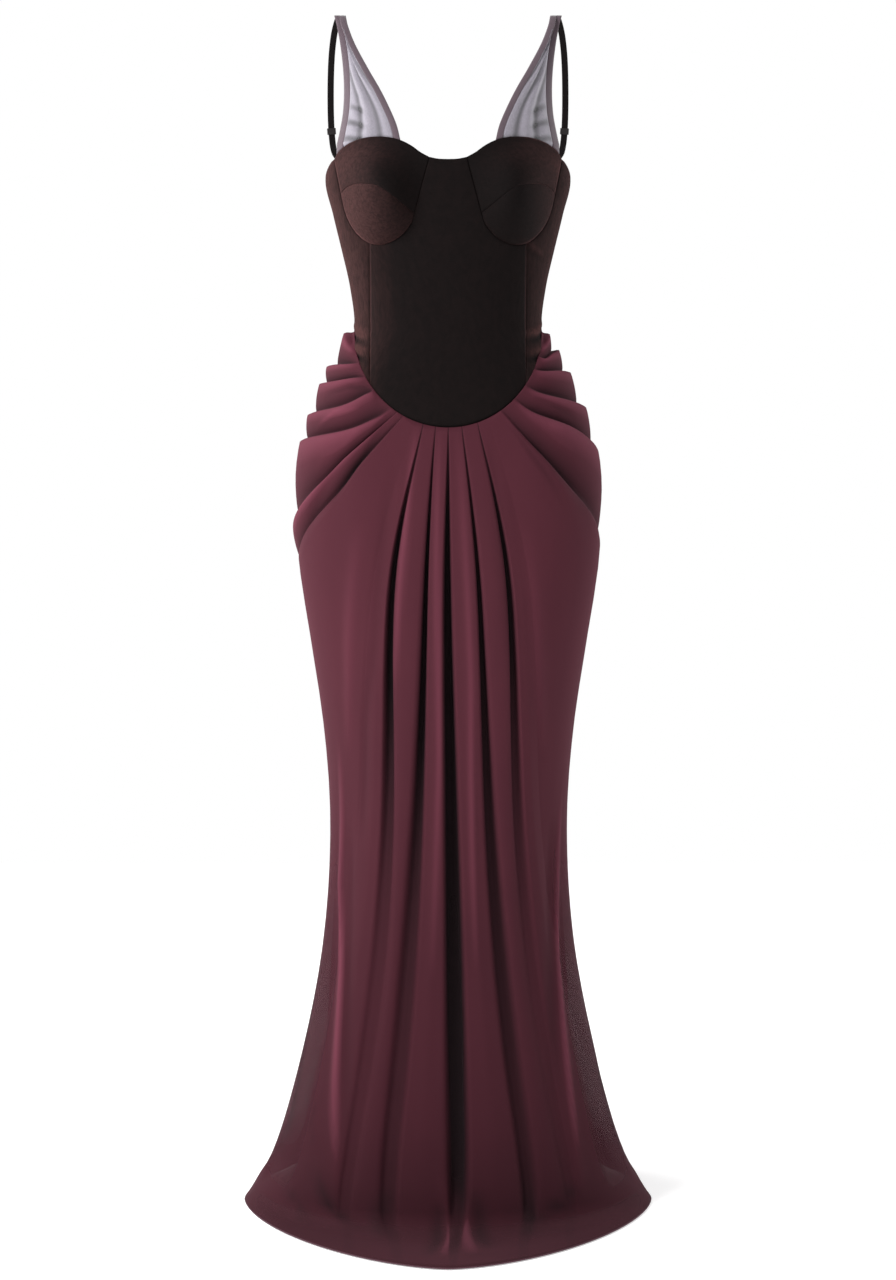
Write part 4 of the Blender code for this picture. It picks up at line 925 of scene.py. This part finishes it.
wire = evenly_along(UNDERWIRE, CUP_COLUMNS)
princess = CUP_COLUMNS // 2
princess_x = wire[princess][0]


def velvet_piece(name, turn, height, lift, painted_sheen, mirror=False, forward=0.0):
    """Velvet panel over the solid of that name, with a grid of how much painted rosy sheen its colour shows.
    """
    piece = cloth_piece(name + "_cloth", turn, height, lift, VELVET_WALL, velvet_material, forward, mirror,
                        {"painted_sheen": painted_sheen})
    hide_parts(name)
    return piece


def bust(away):
    """How far a cup stands forward: full on the cross seam's middle, none at its edges."""
    across = np.sin(np.pi * np.linspace(0, 1, CUP_COLUMNS + 1)) ** 1.2
    return BUST_DEPTH * across[None] * away[:, None]


def cup_pieces(name, x, height, dip, painted_sheens, forward=0.0):
    """The same cup panel left and right, from a grid of places on the left half and the amount of
    painted rosy sheen of each side."""
    made = []
    turn_grid = turn_at(-x, height)
    for side, label, painted_sheen in ((-1, "left", painted_sheens[0]), (1, "right", painted_sheens[1])):
        rise, tone = creased(turn_grid, height, for_side(BODICE_CREASES, side))
        made.append(velvet_piece(name + "_" + label, turn_grid, height, dip + rise, painted_sheen * (1 - tone),
                                 side == 1, forward))
    return made


shares = np.linspace(0, 1, CUP_ROWS + 1)
down, across = np.meshgrid(shares, np.linspace(0, 1, CUP_COLUMNS + 1), indexing="ij")
upper = neck[None] + (cross - neck)[None] * shares[:, None, None]
dip = seam_dip(upper.shape[:2], ("foot", "left", "right"))
outer = 1 - fade(across, 0.1, 0.62)
band = np.exp(-(((down - 0.3) / 0.28) ** 2))
# Painted sheen of the upper cups: rosier on the outer part and in a band below the neckline, more on the left
# cup, towards the key lamp, than on the right
painted_sheens = (
    0.1 + 0.62 * outer + 0.2 * band * (1 - fade(across, 0.5, 0.9)),
    0.06 + 0.38 * outer + 0.34 * band * (1 - across),
)
stand = bust(np.sin(np.pi / 2 * shares) ** 1.25)
cups = cup_pieces("cup_upper", upper[..., 0], upper[..., 1], dip, painted_sheens, stand)
lower = cross[None] + (wire - cross)[None] * shares[:, None, None]
dip = seam_dip(lower.shape[:2], ("top", "foot", "left", "right"))
# Painted sheen of the lower cups: rosy on the left cup except towards its inner edge, faint on the right cup
painted_sheens = (
    0.35 + 0.65 * (1 - fade(across, 0.62, 1.0)) - 0.3 * np.exp(-(((across - 0.72) / 0.16) ** 2)),
    0.08 + 0.26 * (1 - fade(across, 0.05, 0.5)),
)
stand = bust(np.cos(np.pi / 2 * shares) ** 0.8)
cups += cup_pieces("cup_lower", lower[..., 0], lower[..., 1], dip, painted_sheens, stand)

gore = neck[-1][None] + (cross[-1] - neck[-1])[None] * np.linspace(0, 1, 13)[1:, None]
neck_middle = ((neck[-1][0] / 2, (neck[-1][1] + NECK_CENTRE_HEIGHT) / 2 - 0.0008), (0.0, NECK_CENTRE_HEIGHT))
neck_edge = finer(np.array([neck[-1], *neck_middle]), 4, 0)[1:]
half_top = np.concatenate([wire[princess:], gore[-2::-1], neck[-1][None], neck_edge])
rows = np.linspace(0, 1, 57)[:, None]
x = np.broadcast_to(half_top[:, 0], (57, len(half_top)))
height = half_top[None, :, 1] + (seam_height(half_top[:, 0]) - half_top[:, 1])[None] * rows
x = np.concatenate([-x, x[:, -2::-1]], axis=1)
height = np.concatenate([height, height[:, -2::-1]], axis=1)
turn_grid = turn_at(x, height)
rise, tone = creased(turn_grid, height, BODICE_CREASES)
lift_grid = seam_dip(x.shape, ("foot", "left", "right")) + rise
# Painted sheen: rosier on the left part, towards the key lamp
painted_sheen = (0.12 + 0.3 * (1 - fade(turn_grid, -0.42, -0.3))) * (1 - tone)
centre_front = velvet_piece("bodice_centre_front", turn_grid, height, lift_grid, painted_sheen)

outer_edge = neck[0][None] + (cross[0] - neck[0])[None] * np.linspace(0, 1, 13)[:, None]
princess_top = wire[princess][1]
princess_heights = princess_top + (seam_height(princess_x) - princess_top) * np.linspace(0, 1, 41)
princess_line = np.stack([np.full(41, princess_x), princess_heights], axis=-1)
inner = np.concatenate([outer_edge, wire[1:princess + 1], princess_line[1:]])
down = np.linspace(0, 1, len(inner))[:, None]
across = np.linspace(0, 1, 19)[None]
side_height = UNDERARM_HEIGHT + (WAIST_HEIGHT - UNDERARM_HEIGHT) * down
princess_angle = math.degrees(math.asin(princess_x / WAIST_HALF_WIDTH))
foot_turn, foot_height = dropped_seam(90 - (90 - princess_angle) * across**1.6)
inner_turn = -turn_at(inner[:, 0], inner[:, 1])[:, None]
turn_grid = -1 + (inner_turn + 1) * across
height = side_height + (inner[:, 1][:, None] - side_height) * across
settle = fade(down, 0.8, 1.0)
turn_grid = turn_grid * (1 - settle) - foot_turn * settle
height = height * (1 - settle) + foot_height * settle
# Painted sheen: the left side front, towards the key lamp, rosier than the right
for side, label, painted_sheen in ((-1, "left", 0.8), (1, "right", 0.42)):
    rise, tone = creased(turn_grid, height, for_side(BODICE_CREASES, side))
    lift_grid = seam_dip(turn_grid.shape, ("foot", "left", "right"), 1.2) + rise
    velvet_piece("bodice_side_front_" + label, turn_grid, height, lift_grid,
                                    painted_sheen * (1 - tone), side == 1)

turns = np.linspace(1, 2, 49)
tops = curve_through(BACK_EDGE, turns)
turn_grid = -np.broadcast_to(turns[::-1], (49, 49))
height = tops[::-1][None] + (WAIST_HEIGHT - tops[::-1])[None] * np.linspace(0, 1, 49)[:, None]
lift_grid = seam_dip(turn_grid.shape, ("foot", "left", "right"), 1.2)
# Shallow cross wrinkles just above the waist
waist_band = np.exp(-(((height - 1.075) / 0.02) ** 2))
lift_grid = lift_grid + 0.0009 * np.sin(height * 260) * waist_band * fade(-turn_grid, 1.0, 1.3)
# Painted sheen: the left back, towards the key lamp, rosier than the right
for label, painted_sheen in (("left", 0.8), ("right", 0.45)):
    velvet_piece("bodice_back_" + label, turn_grid, height, lift_grid,
                              np.full(turn_grid.shape, painted_sheen), label == "right")

# Front straps: a tapering inset of pale sheer mesh between two narrow bindings. It stands on the
# cup's top edge and narrows to the bindings alone before the shoulder.
STRAP_EDGES = (
    (1.4225, 0.1338, 0.1202), (1.409, 0.1305, 0.1172), (1.386, 0.1264, 0.1085), (1.355, 0.1229, 0.0925),
    (1.329, 0.1219, 0.078), (1.305, 0.1231, 0.0665), (1.286, 0.1262, 0.0588), (1.268, 0.13, 0.0545),
)
STRAP_LEAN = ((0.0, 1.0), (0.3, 0.76), (0.6, 0.47), (0.85, 0.2), (0.96, 0.07), (1.0, 0.0))
STRAP_TOP_HEIGHT = 1.4225
INSET_TOP_HEIGHT = 1.404
BINDING_WIDTH = 0.0078
BINDING_WALL = 0.0012


def strap_rows(top_height, columns, rows, left_edge, right_edge):
    """Grid of points of a left strap piece; each edge gives x at heights."""
    share = np.linspace(0, 1, columns + 1)[None]
    foot_row = STRAP_EDGES[-1][0]
    foot = left_edge(foot_row) * (1 - share) + right_edge(foot_row) * share
    low = curve_through([(x, h) for x, h in NECKLINE], foot) + 0.0002
    height = top_height + (low - top_height) * np.linspace(0, 1, rows + 1)[:, None]
    x = left_edge(height) * (1 - share) + right_edge(height) * share
    reach = cloth_points(turn_at(-foot, low), low, np.full(foot.shape, -0.0006))[..., 1]
    rise = (height - low) / (STRAP_TOP_HEIGHT - low)
    return np.stack([-x, reach * curve_through(STRAP_LEAN, rise), height - SHOULDER_HEIGHT], axis=-1)


def strap_edge(edge, inset=0.0):
    """x of the strap's outer edge, 1, or inner edge, 2, at heights, moved by an inset."""
    return lambda height: curve_through([(row[0], row[edge]) for row in STRAP_EDGES], height) + inset


def thick(face, wall, rise=0.0):
    """Face and back grids of a strap, from its points and their own normals."""
    down = np.gradient(face, axis=0)
    across = np.gradient(face, axis=1)
    square = np.cross(down, across)
    square /= np.linalg.norm(square, axis=-1, keepdims=True)
    rise = np.broadcast_to(rise, face.shape[:2])[..., None]
    return face + square * rise, face + square * (rise - wall)


def both_sides(name, face, back, material, slot, flat, rests_on, paint=None):
    """The left piece from its grids, and the right one as its mirror image."""
    for side, label in ((1, "left"), (-1, "right")):
        skins = [skin * np.array([side, 1, 1]) for skin in (face, back)]
        layers = paint or {}
        if side == -1:
            skins = [skin[:, ::-1] for skin in skins]
            layers = {key: values[:, ::-1] for key, values in layers.items()}
        piece = skin_piece(name + "_" + label + "_cloth", *skins, material, layers)
        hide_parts(name + "_" + label)


# Pale lavender-grey mesh of the strap insets, half sheer
inset_material, tree, shader = new_material("mauve_mesh_cloth", {"Roughness": 0.6, "Sheen Weight": 0.3})
across_threads = pattern(tree, "Wave", {"Scale": 300.0, "Distortion": 0.5}, on_cloth=True)
cloud = pattern(tree, "Noise", {"Scale": 60.0, "Detail": 3.0})
tone = mixed(tree, cloud, "#7a7480", "#a49eaa")
# Painted shade from the piece's paint, towards near black
shading_paint = painted(tree, "fold_depth")
painted_shade_colour = mixed(tree, shading_paint, tone, "#241f28")
facing = add_node(tree, "ShaderNodeLayerWeight", {"Blend": 0.4})
surfaced(tree, shader, painted_shade_colour, across_threads, 0.3)
tree.links.new(ranged(tree, facing.outputs["Facing"], 0.74), shader.inputs["Alpha"])

INSET_WALL = 0.0006
UNDER_BINDING = BINDING_WIDTH - 0.0005
inset_grid = strap_rows(INSET_TOP_HEIGHT, 30, 60, strap_edge(1, -UNDER_BINDING), strap_edge(2, UNDER_BINDING))
# Its base is tucked down and inwards behind the cup
inset_grid[-2:, :, 1] += np.array([[0.001], [0.0018]])
inset_grid[-1, :, 2] -= 0.003
down, across = np.meshgrid(np.linspace(0, 1, 61), np.linspace(0, 1, 31), indexing="ij")
long_folds = np.sin(across * 15 - down * 7 + 1.1 * np.sin(down * 7))
outer_band = np.exp(-(((across - 0.14) / 0.26) ** 2))
short_folds = outer_band * np.sin(down * 46 - across * 12) * fade(down, 0.55, 0.75)
folds = (0.0018 * long_folds + 0.0016 * short_folds) * np.sin(np.pi * across) * fade(down, 0.0, 0.15)
# Painted shade in the troughs of the folds and near the inset's top
long_shade = 0.75 * np.clip(-long_folds, 0, 1) ** 2 * fade(down, 0.12, 0.4)
short_shade = 0.8 * np.clip(-short_folds, 0, 1)
depth = long_shade + short_shade + 0.35 * (1 - fade(down, 0.05, 0.3))
both_sides("strap_inset", *thick(inset_grid, INSET_WALL, folds - 0.0004), inset_material, "mauve_mesh",
           (0.05, 0.125), "cup_upper", {"fold_depth": depth})

# Mauve binding tape, folded over each edge of the strap from the cup to the shoulder, with a
# slightly raised middle
binding_material, tree, shader = new_material("mauve_binding_tape", {"Roughness": 0.75, "Sheen Weight": 0.3})
rib = pattern(tree, "Wave", {"Scale": 330.0, "Distortion": 0.8, "bands_direction": "Y"}, on_cloth=True)
surfaced(tree, shader, mixed(tree, rib, "#4c3b43", "#60505a"), rib, 0.4)
crown = 0.0004 * (1 - np.linspace(-1, 1, 7) ** 2)[None] - 0.0004
outer_grid = strap_rows(STRAP_TOP_HEIGHT, 6, 70, strap_edge(1), strap_edge(1, -BINDING_WIDTH))
inner_grid = strap_rows(STRAP_TOP_HEIGHT, 6, 70, strap_edge(2, BINDING_WIDTH), strap_edge(2))
both_sides("strap_binding_outer", *thick(outer_grid, BINDING_WALL, crown), binding_material,
           "mauve_binding", (0.01, 0.175), "cup_upper")
both_sides("strap_binding_inner", *thick(inner_grid, BINDING_WALL, crown), binding_material,
           "mauve_binding", (0.01, 0.17), "cup_upper")

# Back elastics: narrow black plush elastic from the shoulder down to the back's top edge, each
# with its small ring slider
ELASTIC_PATH = (
    (0.127, 0.0012, 1.4222), (0.1305, 0.011, 1.418), (0.1352, 0.023, 1.402), (0.1388, 0.037, 1.375),
    (0.1405, 0.05, 1.335), (0.14, 0.058, 1.295), (0.137, 0.059, 1.27),
)
ELASTIC_WIDTH = 0.0076
ELASTIC_WALL = 0.0012
foot_height = curve_through(BACK_EDGE, 1.27)
foot = cloth_points(np.array(-1.27), np.array(foot_height), np.array(-CLOTH_WALL / 3))
route = [(-x, y, height - SHOULDER_HEIGHT) for x, y, height in ELASTIC_PATH]
route.append(tuple(foot + np.array([0, 0, 0.0002])))
centres = evenly_along(route, 80)
ELASTIC_COLUMNS = (1, 0.6, 0.2, -0.2, -0.6, -1)
elastic_columns = [centres + np.array([ELASTIC_WIDTH / 2 * share, 0, 0]) for share in ELASTIC_COLUMNS]
elastic_grid = np.stack(elastic_columns, axis=1)
# Black elastic with fine lengthwise ribs
elastic_material, tree, shader = new_material(
    "black_elastic_tape", {"Roughness": 0.7, "Specular IOR Level": 0.12}
)
rib = pattern(tree, "Wave", {"Scale": 250.0, "Distortion": 0.2}, on_cloth=True)
surfaced(tree, shader, mixed(tree, rib, "#0d0909", "#150f10"), rib, 0.5, 0.0004)
both_sides("back_elastic", *thick(elastic_grid, ELASTIC_WALL), elastic_material, "black_elastic",
           (0.01, 0.19), "bodice_back")
# Nylon-coated slider rings
slider_material, tree, shader = new_material("black_nylon_coating", {"Roughness": 0.35})
wear = pattern(tree, "Noise", {"Scale": 900.0, "Detail": 2.0})
tone = mixed(tree, wear, "#191616", "#2a2526")
tree.links.new(tone, shader.inputs["Base Color"])
coat(("strap_slider_left", "strap_slider_right"), slider_material)

# Concealed zip at centre back: woven tape inside the velvet from the top edge down past the waist,
# with an enamelled slider and pull outside that are carried over as they are
ZIP_TAPE_WIDTH = 0.024
ZIP_TAPE_CLEARANCE = 0.0014
ZIP_TAPE_WALL = 0.0009
ZIP_TOP_HEIGHT = 1.236
tape_material, tree, shader = new_material("zip_tape_cloth", {"Roughness": 0.8})
weave = pattern(tree, "Wave", {"Scale": 900.0, "Distortion": 0.6, "bands_direction": "Z"})
surfaced(tree, shader, mixed(tree, weave, "#1d1316", "#2e2024"), weave, 0.5, 0.0004)
metal_material, tree, shader = new_material(
    "enamelled_zip_metal", {"Base Color": hex_colour("#2b2226"), "Metallic": 0.7}
)
wear = pattern(tree, "Noise", {"Scale": 1200.0, "Detail": 2.0})
tree.links.new(ranged(tree, wear, 0.25, 0.45), shader.inputs["Roughness"])
coat(("zip_slider", "zip_pull"), metal_material)
height = np.linspace(ZIP_TOP_HEIGHT, ZIP_END_HEIGHT, 121)[:, None]
turn_grid = 2 + turn_at(ZIP_TAPE_WIDTH / 2, height) * np.linspace(-1, 1, 9)
tape_lift = -CLOTH_WALL - ZIP_TAPE_CLEARANCE + 0.0002 * np.sin(height * 210)
zip_tape = cloth_piece("zip_tape_cloth", turn_grid, np.broadcast_to(height, turn_grid.shape), tape_lift,
                       ZIP_TAPE_WALL, tape_material)
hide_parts("zip_tape")
